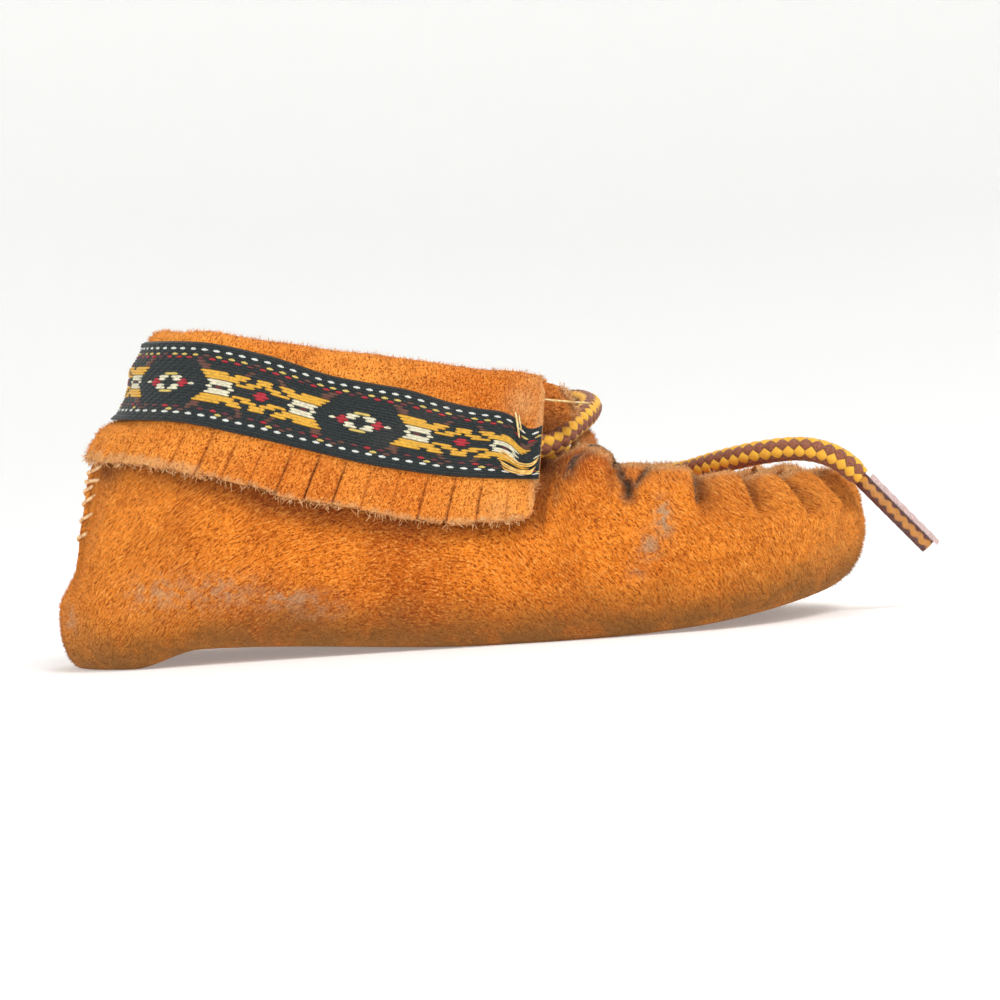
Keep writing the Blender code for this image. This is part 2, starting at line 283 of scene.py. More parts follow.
# %% Tables of sizes
ENDS = {"sole": (-60.5, 57.5), "belly": (-63.5, 63.5), "rim": (-47.0, 59.5)}
PLACES = (0.00, 0.10, 0.25, 0.40, 0.55, 0.65, 0.80, 0.92, 1.00)
HALF_WIDTHS = {
    "sole": tuple(zip(PLACES, (15.0, 17.0, 18.5, 19.5, 21.5, 23.5, 24.0, 22.0, 19.0))),
    "belly": tuple(zip(PLACES, (19.0, 20.5, 21.5, 23.0, 25.5, 27.5, 28.0, 26.0, 23.0))),
    "rim": tuple(zip(PLACES, (14.0, 16.0, 18.0, 18.5, 17.5, 15.5, 16.0, 14.0, 12.0))),
}
BELLY_HEIGHT = tuple(zip(PLACES, (9.0, 9.0, 9.0, 9.0, 9.5, 9.5, 9.5, 9.0, 8.5)))
HEEL_ROUND, TOE_ROUND = 0.15, 0.19

CUFF_PLACES = (0.0, 0.1, 0.2, 0.3, 0.4, 0.5, 0.6)
FOLD = tuple(zip(CUFF_PLACES, (51.9, 51.2, 49.2, 46.8, 44.2, 41.8, 39.6)))
BAND_TOP = tuple(zip(CUFF_PLACES, (49.8, 48.8, 46.3, 43.0, 39.4, 35.4, 32.0)))
BAND_FOOT = tuple(zip(CUFF_PLACES, (38.5, 37.3, 34.6, 31.2, 27.9, 25.6, 24.4)))
HEM = tuple(zip(CUFF_PLACES, (32.4, 30.3, 26.8, 22.9, 20.1, 18.3, 18.4)))
CUFF_FRONT = 0.6

RIM_PLACES = (0.5, 0.524, 0.55, 0.59, 0.622, 0.656, 0.695, 0.77, 0.84, 0.91, 0.97, 1.0)
RIM_HEIGHTS = (38.7, 32.8, 27.0, 24.6, 25.0, 27.4, 25.6, 25.0, 24.6, 23.5, 22.0, 21.2)
RIM = tuple(zip(RIM_PLACES, RIM_HEIGHTS))

WALL, CUFF_WALL, PLUG_WALL, TONGUE_WALL, INSOLE_WALL = 1.5, 1.4, 1.5, 1.4, 1.6
FOLD_RADIUS, FOLD_ROOM, FOLD_DROP = 2.7, 1.9, 2.8
FOLD_TURN, FOLD_TURN_FRONT = 180, 145
INNER_LEG, INNER_LEG_FRONT, INNER_LEG_END = 6.5, 0.4, (0.30, 0.40)
HEM_STAND_OFF = 2.0
SPRING_START, SPRING_HEIGHT = 20.0, 5.2
ARCH_BACK, ARCH_TOP, ARCH_FRONT, ARCH_HEIGHT = -50.0, -39.0, 6.0, 2.4
POCKET_DEPTH, POCKET_START, POCKET_END = 5.0, (0.38, 0.45), (0.575, 0.62)
POCKET_LOW, POCKET_HIGH = (21.4, 25.6), (34.4, 37.4)


# %% Reading the tables
@lru_cache(maxsize=None)
def read(curve, at):
    """The value of a smooth curve through a table's pairs, which never overshoots them."""
    xs, ys = zip(*curve)
    at = min(max(at, xs[0]), xs[-1])
    steps = [(b - a) / (xb - xa) for a, b, xa, xb in zip(ys, ys[1:], xs, xs[1:])]
    slopes = [steps[0]]
    for left, right in zip(steps, steps[1:]):
        slopes.append(2 * left * right / (left + right) if left * right > 0 else 0.0)
    slopes.append(steps[-1])
    i = max(k for k in range(len(xs) - 1) if xs[k] <= at)
    width = xs[i + 1] - xs[i]
    t = (at - xs[i]) / width
    return (
        ys[i] * (1 + 2 * t) * (1 - t) ** 2
        + slopes[i] * width * t * (1 - t) ** 2
        + ys[i + 1] * t * t * (3 - 2 * t)
        + slopes[i + 1] * width * t * t * (t - 1)
    )


def smooth(low, high, value):
    t = min(max((value - low) / (high - low), 0.0), 1.0)
    return t * t * (3 - 2 * t)


def even(start, stop, count):
    return [start + (stop - start) * k / count for k in range(count + 1)]


def along_of(turn):
    return (1 - math.cos(math.tau * turn)) / 2


def turn_of(along):
    return math.acos(1 - 2 * along) / math.tau


# %% [markdown]
# ## Outlines
#
# Three outlines seen from above carry the whole shape: the sole's edge, the widest line low on the
# sides, and the upper edge. `side` leans from the widest line in to the upper edge, softly at the
# ankle and in a round curve at the vamp.


# %% The outlines and the side
@lru_cache(maxsize=None)
def outline(level, turn):
    along = along_of(turn)
    heel, toe = ENDS[level]
    rounding = math.sqrt(max(0.0, 1 - max(0.0, 1 - along / HEEL_ROUND) ** 2))
    rounding *= math.sqrt(max(0.0, 1 - max(0.0, 1 - (1 - along) / TOE_ROUND) ** 2))
    half = read(HALF_WIDTHS[level], along) * rounding
    y = -math.copysign(half, math.sin(math.tau * turn))
    return Vector((heel + (toe - heel) * along, y, 0.0)).freeze()


@lru_cache(maxsize=None)
def outward(turn, levels=("belly", "rim")):
    """The level direction out of the shoe at a column."""
    tangent = Vector()
    for level in levels:
        tangent += outline(level, turn + 0.002) - outline(level, turn - 0.002)
    return Vector((tangent.y, -tangent.x, 0.0)).normalized().freeze()


def floor_lift(x):
    """How far the sole's underside is off the floor: at the arch and towards the toe."""
    spring = max(0.0, (x - SPRING_START) / (ENDS["belly"][1] - SPRING_START))
    arch = smooth(ARCH_BACK, ARCH_TOP, x) * (1 - smooth(ARCH_TOP, ARCH_FRONT, x))
    return SPRING_HEIGHT * spring**2 + ARCH_HEIGHT * arch


@lru_cache(maxsize=None)
def widest_height(turn):
    return floor_lift(outline("belly", turn).x) + read(BELLY_HEIGHT, along_of(turn))


@lru_cache(maxsize=None)
def rim_height(turn):
    along = along_of(turn)
    return read(RIM, along) if along > RIM_PLACES[0] else read(FOLD, along) - FOLD_DROP


def side(turn, height, top):
    """A point of the plain side, which leans in to the upper outline at the height `top`."""
    base = widest_height(turn)
    rise = (height - base) / (top - base)
    vamp = smooth(0.50, 0.66, along_of(turn))
    lean = (1 - vamp) * smooth(0.05, 1.0, rise)
    lean += vamp * (1 - math.sqrt(max(0.0, 1 - max(rise, 0.0) ** 2.2)))
    point = outline("belly", turn).lerp(outline("rim", turn), lean)
    point.z = height
    return point


def under_cuff(turn, height):
    """How far the side steps in below the cuff, and further in at the pocket for the lace."""
    along = along_of(turn)
    covered = 1 - smooth(*POCKET_END, along)
    step_in = FOLD_ROOM * smooth(read(HEM, along), read(FOLD, along) - FOLD_RADIUS, height)
    pocket = smooth(*POCKET_START, along) * smooth(*POCKET_LOW, height)
    return covered * (step_in + POCKET_DEPTH * pocket * (1 - smooth(*POCKET_HIGH, height)))


def rough(point, size, amount):
    """A soft random bulge with features of a given size, the same on each run."""
    return noise.noise(Vector(point) / size) * amount


def distances(points):
    """The way walked along some points, at each of them."""
    walked = [0.0]
    for before, after in zip(points, points[1:]):
        walked.append(walked[-1] + (after - before).length)
    return walked


ROUND_STEPS = 1000


@lru_cache(maxsize=None)
def way_round():
    """The distances along the widest line, from the heel seam once round the shoe."""
    return distances([outline("belly", turn) for turn in even(0.0, 1.0, ROUND_STEPS)])


def travelled(turn):
    """How far a turn is from the heel seam along the widest line, on the right side first."""
    place = (turn % 1.0 if turn < 1.0 else 1.0) * ROUND_STEPS
    k = min(int(place), ROUND_STEPS - 1)
    walked = way_round()
    return walked[k] + (walked[k + 1] - walked[k]) * (place - k)


def from_seam(turn):
    """How far a turn is from the heel seam on either side."""
    return min(travelled(turn), travelled(1.0) - travelled(turn))


print("round the widest line:", round(way_round()[-1]), "mm")

# %% [markdown]
# ## A sheet of leather
#
# Each leather piece starts as one flat grid from `create_grid`. Its vertices are then put in place by
# a function of column and row, its doubled edges are merged, and a Solidify modifier gives it its
# wall. The function can also write marks on the vertices, which the suede's material reads: `low` near
# the floor, one mark for painted shade in folds, slits and under edges (with a few real stains), `scuff`
# where the colour is rubbed off, `raw` at cut edges, `nap` where short fibres grow, `lie` for the pattern
# of the nap and `comb` for its direction.

# %% Leather from a grid
# The second mark is painted shade in folds, slits and under edges, with a few real stains
MARKS = ("low", "hollow", "scuff", "raw", "nap")
DIRECTIONS = ("lie", "comb")
MERGED = 0.004 * MM  # vertices that lie closer than this are one


def grid_steps(vert, across, up):
    """The column and the row that a vertex of a new grid stands in."""
    return round((vert.co.x + 1) / 2 * across), round((vert.co.y + 1) / 2 * up)


def lay(name, columns, rows, place, marks=None):
    """A grid mesh whose vertices are placed, and marked, by column and row."""
    bm = bmesh.new()
    across, up = len(columns) - 1, len(rows) - 1
    bmesh.ops.create_grid(bm, x_segments=across, y_segments=up, size=1)
    layers = {key: bm.verts.layers.float.new(key) for key in MARKS}
    layers |= {key: bm.verts.layers.float_vector.new(key) for key in DIRECTIONS}
    for vert in bm.verts:
        i, j = grid_steps(vert, across, up)
        point = place(columns[i], rows[j])
        vert.co = point * MM
        for key, value in (marks(columns[i], rows[j], point) if marks else {}).items():
            vert[layers[key]] = value
    bmesh.ops.remove_doubles(bm, verts=bm.verts, dist=MERGED)
    return as_mesh(bm, name)


def piece(name, mesh, finish, replaces=None, wall=None):
    """An object of the shoe, riding on its one body, with an optional wall."""
    made = bpy.data.objects.new(name, mesh)
    bpy.context.scene.collection.objects.link(made)
    made.data.materials.append(finish)
    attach(made, "root")
    if replaces:
        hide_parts(replaces)
    if wall:
        thicken = made.modifiers.new("Wall", "SOLIDIFY")
        thicken.thickness, thicken.offset = wall * MM, -1
    print(f"{name}: {len(mesh.polygons)} faces")
    return made


# %% [markdown]
# ## The lace
#
# A round braided lace, 3.5 mm thick, in golden and maroon yarns. Its routes are the CAD's, a little
# lower where a real lace sags: the loop comes out of the pocket under the cuff's right edge, runs
# round the tongue and goes back under the left edge; the free end comes from the left pocket, over
# the plug and the toe, into its tip.
#
# Eight coloured bands run along it, gold and maroon in turn. Each band is a chain of plump stitches,
# and neighbouring chains are set like bricks, half a stitch apart, so that they interlock. The tube is
# a grid rolled round the route; its radius follows the stitches, and its UV map counts stitches along
# the lace and bands round it, so that the material can colour the same ones.

# %% Routes and the braid's own sizes
LOOP_ROUTE = (
    (-3.0, -17.2, 30.8),
    (4.5, -17.0, 30.0),
    (12.0, -16.3, 28.9),
    (16.4, -14.2, 29.6),
    (19.5, -10.6, 31.6),
    (21.9, -5.0, 33.5),
    (22.2, 2.0, 34.8),
    (19.6, 9.5, 35.6),
    (13.8, 14.0, 34.7),
    (6.0, 16.0, 33.0),
    (-1.5, 16.2, 32.4),
)
END_ROUTE = (
    (-3.0, 18.0, 28.5),
    (4.5, 18.0, 28.3),
    (11.0, 17.0, 28.1),
    (16.0, 14.8, 27.4),
    (21.0, 12.2, 25.5),
    (26.0, 8.4, 23.2),
    (31.5, 4.4, 22.3),
    (37.0, 0.0, 23.2),
    (42.5, -4.6, 24.5),
    (48.5, -8.2, 25.4),
    (54.5, -9.8, 25.4),
    (59.2, -10.4, 23.7),
    (62.8, -10.8, 20.4),
)
TIP_AIM = Vector((11.3, 0.5, -13.2)).normalized()
TIP_LENGTH = 14.5
TIP_GAP = 0.7
CORE_SHIFT = Vector((-0.22, 0.0, -0.19))
LACE_RADIUS = 1.75
PLUMP = 0.14
TIP_RADIUS, SLEEVE_SIDES, FILM_WALL = 1.55, 32, 0.08
CORE_RADIUS, CORE_RELIEF, CORE_BANDS = 1.22, 0.16, 4
BANDS = 8
STITCH = 1.7
SCALLOP = 0.3
RELIEF, SQUEEZED = 0.36, 0.2
AROUND = 48
RING_STEP, CURVE_STEPS = 0.22, 60


# %% A smooth route of even steps
def even_route(corners, step):
    """Points at even steps on a Catmull-Rom curve through the corners."""
    corners = [Vector(corner) for corner in corners]
    ends = [corners[0] * 2 - corners[1], *corners, corners[-1] * 2 - corners[-2]]
    fine = []
    for a, b, c, d in zip(ends, ends[1:], ends[2:], ends[3:]):
        bend, twist = a * 2 - b * 5 + c * 4 - d, b * 3 - a - c * 3 + d
        for t in even(0.0, 1.0, CURVE_STEPS)[:-1]:
            fine.append((b * 2 + (c - a) * t + bend * t**2 + twist * t**3) / 2)
    fine.append(corners[-1])
    length = distances(fine)[-1]
    count = round(length / step)
    points, walked, want = [fine[0]], 0.0, length / count
    for a, b in zip(fine, fine[1:]):
        span = (b - a).length
        while walked + span >= want * len(points) - 1e-9 and len(points) < count:
            points.append(a.lerp(b, (want * len(points) - walked) / span))
        walked += span
    points.append(fine[-1])
    return points, length


def rings(points):
    """For each point its sideways and upward directions, carried along without twisting."""
    upward = Vector((0, 0, 1))
    found = []
    for k, point in enumerate(points):
        ahead = points[min(k + 1, len(points) - 1)] - points[max(k - 1, 0)]
        ahead.normalize()
        sideways = ahead.cross(upward).normalized()
        upward = sideways.cross(ahead).normalized()
        found.append((point, sideways, upward.copy()))
    return found


# %% [markdown]
# A stitch is half an egg: it belongs to the band whose scalloped border holds the point, and it is
# highest in its middle. `roll` turns the bands round the lace.


# %% The braided tube
def zigzag(along):
    """A pointed wave between -1 and 1, highest at whole stitches."""
    return 4 * abs(along % 1.0 - 0.5) - 1


def stitch_relief(along, round_it):
    """How high the stitch stands at a place, from 0 to 1."""
    border = round(round_it)
    lean = SCALLOP * zigzag(along) * (1 - 2 * (border % 2))
    band = math.floor(round_it + lean)
    across = round_it - band - 0.5
    ahead = (along + 0.22 * across - 0.5 * (band % 2) + 0.5) % 1.0 - 0.5
    return math.sqrt(max(0.0, 1 - (ahead / 0.57) ** 2 - (across / 0.78) ** 2))


def braid(name, points, radius, depth, bands=BANDS, roll=0.0, squeezed=0.0):
    """A tube along the points with the braid's relief, capped at both ends; its last end may be
    squeezed thinner."""
    frames = rings(points)
    step = (points[1] - points[0]).length
    bm = bmesh.new()
    bmesh.ops.create_grid(bm, x_segments=len(points) - 1, y_segments=AROUND, size=1)
    uv = bm.loops.layers.uv.new("Braid")
    for vert in bm.verts:
        k, j = grid_steps(vert, len(points) - 1, AROUND)
        along, round_it = k * step / STITCH, j / AROUND * bands + roll
        for loop in vert.link_loops:
            loop[uv].uv = (along, round_it)
        centre, sideways, upward = frames[k]
        angle = math.tau * j / AROUND
        reach = radius - depth * (1 - stitch_relief(along, round_it))
        reach *= 1 - squeezed * smooth(2.0, 0.0, (len(points) - 1 - k) * step)
        out = sideways * math.cos(angle) + upward * math.sin(angle)
        vert.co = (centre + out * reach) * MM
    bmesh.ops.remove_doubles(bm, verts=bm.verts, dist=MERGED)
    rims = [edge for edge in bm.edges if edge.is_boundary]
    bmesh.ops.holes_fill(bm, edges=rims, sides=0)
    bmesh.ops.recalc_face_normals(bm, faces=bm.faces)
    return as_mesh(bm, name)


# %% [markdown]
# The material finds the same bands with the same sums: the nearest border, its parity, and the zigzag
# that points it. Every second band is maroon. Painted shade darkens the lines where bands and stitches
# meet, and fine ribs with a little sheen make the yarns cotton.


# %% Braid material
def braid_finish(name):
    made, tree, shader = new_material(name)
    along, round_it = uv_parts(tree, "Braid")
    wave = sums(tree, "PINGPONG", sums(tree, "ADD", along, 0.5), 0.5)
    wave = sums(tree, "SUBTRACT", sums(tree, "MULTIPLY", wave, 4.0), 1.0)
    parity = sums(tree, "MODULO", sums(tree, "ADD", sums(tree, "ROUND", round_it), 8.0), 2.0)
    lean = sums(tree, "MULTIPLY", wave, stretch(tree, parity, 0, 1, SCALLOP, -SCALLOP))
    shifted = sums(tree, "ADD", sums(tree, "ADD", round_it, lean), 8.0)
    which = sums(tree, "MODULO", sums(tree, "FLOOR", shifted), 2.0)
    beside = sums(tree, "PINGPONG", sums(tree, "FRACT", shifted), 0.5)
    ahead = sums(tree, "ADD", along, sums(tree, "MULTIPLY", which, 0.5))
    between = sums(tree, "PINGPONG", sums(tree, "ADD", ahead, 0.5), 0.5)
    edge = stretch(tree, beside, 0.0, 0.12)
    gap = stretch(tree, between, 0.0, 0.06, 0.35, 1.0)
    crown = sums(tree, "MULTIPLY", edge, gap)
    place = object_place(tree)
    mottle = grain(tree, place, 900, 3)
    gold = mix(tree, mottle, colour(228, 144, 16), colour(255, 204, 48))
    maroon = mix(tree, mottle, colour(88, 28, 26), colour(152, 62, 50))
    yarn = mix(tree, which, gold, maroon)
    # Painted shade along the borders between bands and stitches
    yarn = mix(tree, crown, mix(tree, 0.5, yarn, colour(74, 26, 12)), yarn)
    ribs = node(tree, "CombineXYZ", {0: ahead, 1: shifted})
    ribs = grain(tree, ribs.outputs[0], 9, 2)
    yarn = mix(tree, stretch(tree, ribs, 0.35, 0.75, 0.0, 0.25), yarn, colour(255, 222, 150))
    relief = sums(tree, "ADD", crown, sums(tree, "MULTIPLY", ribs, 0.6))
    looks = {"Base Color": yarn, "Normal": bump(tree, relief, 0.12, 0.8), "Roughness": 0.8}
    put(tree, shader, looks | {"Sheen Weight": 0.2, "Sheen Roughness": 0.4})
    return made


# %% The loop and the free end
lace_braid = braid_finish("lace_braid")
loop_points, loop_length = even_route(LOOP_ROUTE, RING_STEP)
end_points, end_length = even_route(END_ROUTE, RING_STEP)
loop_mesh = braid("braided_loop", loop_points, LACE_RADIUS + PLUMP, RELIEF)
end_mesh = braid("braided_end", end_points, LACE_RADIUS + PLUMP, RELIEF, roll=1.0, squeezed=SQUEEZED)
braided_loop = piece("braided_loop", loop_mesh, lace_braid, "lace_loop")
braided_end = piece("braided_end", end_mesh, lace_braid, "lace_end")

# %% [markdown]
# The tip is the same lace, squeezed thinner, in a sleeve of clear film that was shrunk on hot. Squeezed,
# the gold chains are only wavy lines on maroon. Along one side the film is painted pale and nearly
# opaque, with fine lines in it: a painted reflection of the white room. The film also shines.


# %% The tip and its film
def tip_finish():
    made, tree, shader = new_material("tip_braid")
    along, round_it = uv_parts(tree, "Braid")
    wave = sums(tree, "COSINE", sums(tree, "MULTIPLY", along, math.tau))
    centred = sums(tree, "ADD", round_it, sums(tree, "MULTIPLY", wave, 0.13))
    away = sums(tree, "PINGPONG", centred, 1.0)
    place = object_place(tree)
    mottle = grain(tree, place, 1100, 3)
    gold = mix(tree, mottle, colour(150, 86, 16), colour(226, 156, 40))
    maroon = mix(tree, mottle, colour(52, 18, 20), colour(104, 44, 34))
    yarn = mix(tree, stretch(tree, away, 0.24, 0.36), gold, maroon)
    put(tree, shader, {"Base Color": yarn, "Roughness": 0.5})
    return made


def film_material():
    made, tree, shader = new_material("aglet_film")
    along, round_it = uv_parts(tree, "Film")
    # A painted reflection: a pale, nearly opaque band along one side, with fine lines in it
    reflection_side = stretch(tree, sums(tree, "PINGPONG", round_it, 0.5), 0.10, 0.05, 0, 1)
    lines = node(tree, "CombineXYZ", {0: sums(tree, "MULTIPLY", along, 2.0), 1: round_it})
    scratches = stretch(tree, grain(tree, lines.outputs[0], 26, 3, 0.7), 0.38, 0.62, 0.35, 0.95)
    painted_reflection = sums(tree, "MULTIPLY", reflection_side, scratches)
    tint = mix(tree, scratches, colour(150, 100, 92), colour(226, 192, 186))
    place = object_place(tree)
    wrinkles = bump(tree, grain(tree, place, 700, 2), 0.1, 0.5)
    looks = {"Base Color": tint, "Alpha": sums(tree, "ADD", painted_reflection, 0.05), "Normal": wrinkles}
    put(tree, shader, looks | {"Roughness": 0.18, "Coat Weight": 1.0, "Coat Roughness": 0.06})
    return made


def film_sleeve(points):
    """A thin open sleeve with a seam ridge, a flared mouth and a few soft dents."""
    frames = rings(points)
    bm = bmesh.new()
    bmesh.ops.create_grid(bm, x_segments=len(points) - 1, y_segments=SLEEVE_SIDES, size=1)
    uv = bm.loops.layers.uv.new("Film")
    for vert in bm.verts:
        k, j = grid_steps(vert, len(points) - 1, SLEEVE_SIDES)
        for loop in vert.link_loops:
            loop[uv].uv = (k / len(points), (j - 5) / SLEEVE_SIDES)
        centre, sideways, upward = frames[k]
        angle = math.tau * j / SLEEVE_SIDES
        reach = TIP_RADIUS + 0.12 * math.exp(-(((j - 8) / 1.3) ** 2))
        reach += 0.12 * smooth(4, 0, k) + 0.05 * math.sin(k * 0.7 + 3 * angle)
        vert.co = (centre + (sideways * math.cos(angle) + upward * math.sin(angle)) * reach) * MM
    bmesh.ops.remove_doubles(bm, verts=bm.verts, dist=MERGED)
    bmesh.ops.recalc_face_normals(bm, faces=bm.faces)
    return as_mesh(bm, "film")


tip_start = Vector(END_ROUTE[-1]) + TIP_AIM * TIP_GAP
tip_points, _ = even_route(
    (tip_start, tip_start + TIP_AIM * TIP_LENGTH / 2, tip_start + TIP_AIM * TIP_LENGTH), RING_STEP
)
core_points = [tip_start - TIP_AIM * TIP_GAP * 1.6] + tip_points[:-2]
core_points = [point + CORE_SHIFT for point in core_points]
core_points, _ = even_route(core_points[:: len(core_points) // 4], RING_STEP)
core_mesh = braid("lace_tip", core_points, CORE_RADIUS, CORE_RELIEF, bands=CORE_BANDS)
tip_core = piece("lace_tip", core_mesh, tip_finish())
film = film_sleeve(tip_points)
tip_film = piece("tip_film", film, film_material(), "lace_aglet", FILM_WALL)

print("lace: loop", round(loop_length), "mm, free end", round(end_length), "mm")

# %% [markdown]
# ## Suede
#
# Suede is the flesh side of leather, raised into a short nap. Its colour is never even: large clouds
# where the nap lies one way or the other, streaks a millimetre long where it was brushed, and tiny
# dark pits between pale tips. All of it is noise at several sizes. The streaks read the `lie` mark,
# which bends round the shoe as the nap does; the rest reads Object coordinates. The other marks lay
# more colours over it: browner near the floor, grey where it is scuffed, pale tan at raw edges, and
# painted shade, dark brown and darker still, in folds, slits and under edges, with a few real stains.
# `tip` is 1 at the tips of the fibres that are planted later, `tuft` a random value for each of them.


# %% Suede material
def suede_finish(name, deep, bright):
    made, tree, shader = new_material(name)
    place = object_place(tree)
    clouds = stretch(tree, grain(tree, place, 48, 3), 0.33, 0.68)
    patches = grain(tree, place, 260, 3, 0.6)
    lie = mark(tree, "lie", "Vector")
    strokes = grain(tree, scaled(tree, lie, 0.9, 2.2, 1), 1.0, 4, 0.65, 0.7)
    tufts = grain(tree, scaled(tree, lie, 1.9, 3.8, 1), 1.0, 2, 0.5)
    specks = grain(tree, place, 3600, 2, 0.7)
    base = mix(tree, clouds, deep, bright)
    along = node(tree, "SeparateXYZ", {0: place}).outputs[0]
    ends = stretch(tree, sums(tree, "ABSOLUTE", along), 0.022, 0.052, 0, 0.5)
    base = mix(tree, ends, base, colour(252, 156, 52))
    base = mix(tree, stretch(tree, patches, 0.45, 0.75, 0, 0.35), base, colour(250, 148, 50))
    base = mix(tree, stretch(tree, patches, 0.52, 0.3, 0, 0.35), base, colour(170, 72, 14))
    nap = sums(tree, "MULTIPLY_ADD", tufts, 0.5, sums(tree, "MULTIPLY", strokes, 0.5))
    nap = sums(tree, "MULTIPLY_ADD", nap, 0.75, sums(tree, "MULTIPLY", specks, 0.25))
    pits = stretch(tree, nap, 0.51, 0.40, 0, 0.9)
    tips = stretch(tree, nap, 0.5, 0.62, 0, 0.75)
    base = mix(tree, pits, base, colour(134, 52, 8))
    base = mix(tree, tips, base, colour(255, 182, 92))

    def marked(name, over):
        return sums(tree, "MULTIPLY", mark(tree, name), over)

    def between(dark, light):
        return mix(tree, nap, colour(*dark), colour(*light))

    torn = stretch(tree, grain(tree, place, 700, 3, 0.6), 0.4, 0.58, 0.1, 1.0)
    # Painted shade: dark brown where the shade mark is set, and very dark in its deepest places
    deepest_shade = stretch(tree, mark(tree, "hollow"), 0.86, 1.0, 0, 0.9)
    layers = (
        (marked("tip", stretch(tree, mark(tree, "tuft"), 0, 1, 0.0, 0.7)), colour(255, 184, 98)),
        (marked("low", stretch(tree, patches, 0.25, 0.6, 0.5, 1.0)), between((86, 48, 20), (178, 120, 62))),
        (marked("hollow", stretch(tree, nap, 0.7, 0.35, 0.7, 1.0)), colour(92, 40, 28)),
        (deepest_shade, colour(50, 37, 33)),
        (marked("scuff", torn), between((150, 110, 76), (216, 186, 150))),
        (marked("raw", stretch(tree, nap, 0.3, 0.55, 0.5, 1.0)), between((184, 112, 54), (252, 206, 146))),
    )
    for share, tint in layers:
        base = mix(tree, share, base, tint)

    furry = bump(tree, nap, 0.5, 1.0, below=bump(tree, patches, 0.5, 0.5))
    looks = {"Base Color": base, "Normal": furry, "Roughness": 0.95, "Specular IOR Level": 0.15}
    looks |= {"Sheen Weight": 0.35, "Sheen Roughness": 0.5, "Sheen Tint": colour(255, 190, 120)}
    put(tree, shader, looks)
    return made


suede = suede_finish("orange_suede", colour(190, 88, 16), colour(246, 140, 38))
cuff_suede = suede_finish("deep_orange_suede", colour(224, 120, 36), colour(255, 162, 66))
print("suede: nap, clouds, wear")

# %% [markdown]
# ## The wrapped sole and sides
#
# One piece of suede. Under the foot it is flat; it turns up round the sole's edge, stands as the side,
# and at the toe it is gathered by a sinew thread into lobes with drawn-in valleys between them. Each
# valley is a pleat: steep on the heel's side, where one lobe rolls over it, and slowly rising on the
# toe's side. The pleats fan out, so each one leans further towards the toe as it runs down, and the
# grid's columns crowd at the steep sides and lean with them.
#
# The place function repeats the CAD's outer face and adds the pleats, the slits, the notch where the
# thread pulls hardest, the standing seam at the heel and soft random dents.

# %% Pleats, slits and the seam
# A valley: its place along the shoe, how far it leans, how far down it reaches, and how strong its slit and
# its painted shade are
Valley = namedtuple("Valley", "along lean reach dark")
VALLEYS = (
    Valley(0.618, 0.0000, 6.0, 0.35),
    Valley(0.682, 0.0000, 5.0, 0.15),
    Valley(0.790, 0.0002, 8.5, 1.0),
    Valley(0.852, 0.0008, 9.0, 1.0),
    Valley(0.901, 0.0016, 9.5, 1.0),
    Valley(0.948, 0.0025, 9.0, 1.0),
    Valley(0.990, 0.0010, 7.0, 0.3),
)
LOBE_OUT, VALLEY_IN = 0.6, 1.5
LOBE_RISE, VALLEY_SINK = 0.6, 0.55
SLIT_DEPTH, SLIT_HALF = 1.5, 0.0019
LEAN_REACH = 14.0
PLEATED_FROM = 0.55
# How much higher the gathered edge stands on the right side than in the CAD, by its place
RIGHT_RISE = ((0.50, 0), (0.524, 0.5), (0.55, 4.0), (0.572, 4.6), (0.59, 2.6), (0.605, 3.1))
RIGHT_RISE += ((0.622, 3.7), (0.64, 2.4), (0.656, 0.6), (0.68, 0.1), (0.70, 0.3), (0.724, -0.3))
RIGHT_RISE += ((0.745, -1.1), (0.77, -1.1), (0.79, -1.6), (0.822, -2.1), (0.877, -2.2), (0.941, -1.1))
RIGHT_RISE += ((0.97, -0.6), (1.0, -0.3))
# How much lower it stands on the left side
LEFT_DROP = ((0.62, 0.0), (0.70, 1.2), (0.80, 1.2), (0.85, 2.1), (0.88, 2.1), (0.91, 0.9), (1.0, 0.3))
# How far the heel is pushed in at each height, on top of its even flattening
HEEL_SHAPE = ((0.0, 0.0), (6.0, 0.1), (9.7, 0.6), (12.1, 1.6), (14.4, 1.9), (17.6, 1.1), (20.8, 0.2))
HEEL_SHAPE += ((23.9, -0.4), (27.1, -0.8), (31.3, -1.1), (36.0, -0.8), (40.0, 0.0))
SEAM_OUT, SEAM_HALF, HEEL_FLAT = 0.8, 1.0, 2.0

# Lines drawn into the suede by the thread: from, to (x and height in mm), depth, half width, and the
# strength of the painted shade in them
Groove = namedtuple("Groove", "start end depth half dark")
GROOVES = (
    Groove((25.4, 27.2), (27.0, 21.4), 1.4, 0.62, 1.0),
    Groove((31.2, 25.4), (27.5, 21.4), 1.2, 0.52, 0.95),
    Groove((27.2, 22.4), (27.1, 20.8), 2.6, 0.9, 1.0),
    Groove((18.2, 24.0), (20.2, 27.0), 0.9, 0.55, 0.8),
    Groove((20.2, 27.0), (24.8, 28.8), 0.7, 0.60, 0.7),
)


def shoe_side(turn):
    """A turn counted from the heel seam on either side, from 0 to 0.5."""
    return min(turn, 1 - turn)


def raised_rim(turn):
    """The gathered edge's height, with its rise on the right side."""
    return rim_height(turn) + read(RIGHT_RISE, along_of(turn)) * (turn < 0.5)


@lru_cache(maxsize=None)
def valley_turns():
    return tuple(turn_of(valley.along) for valley in VALLEYS)


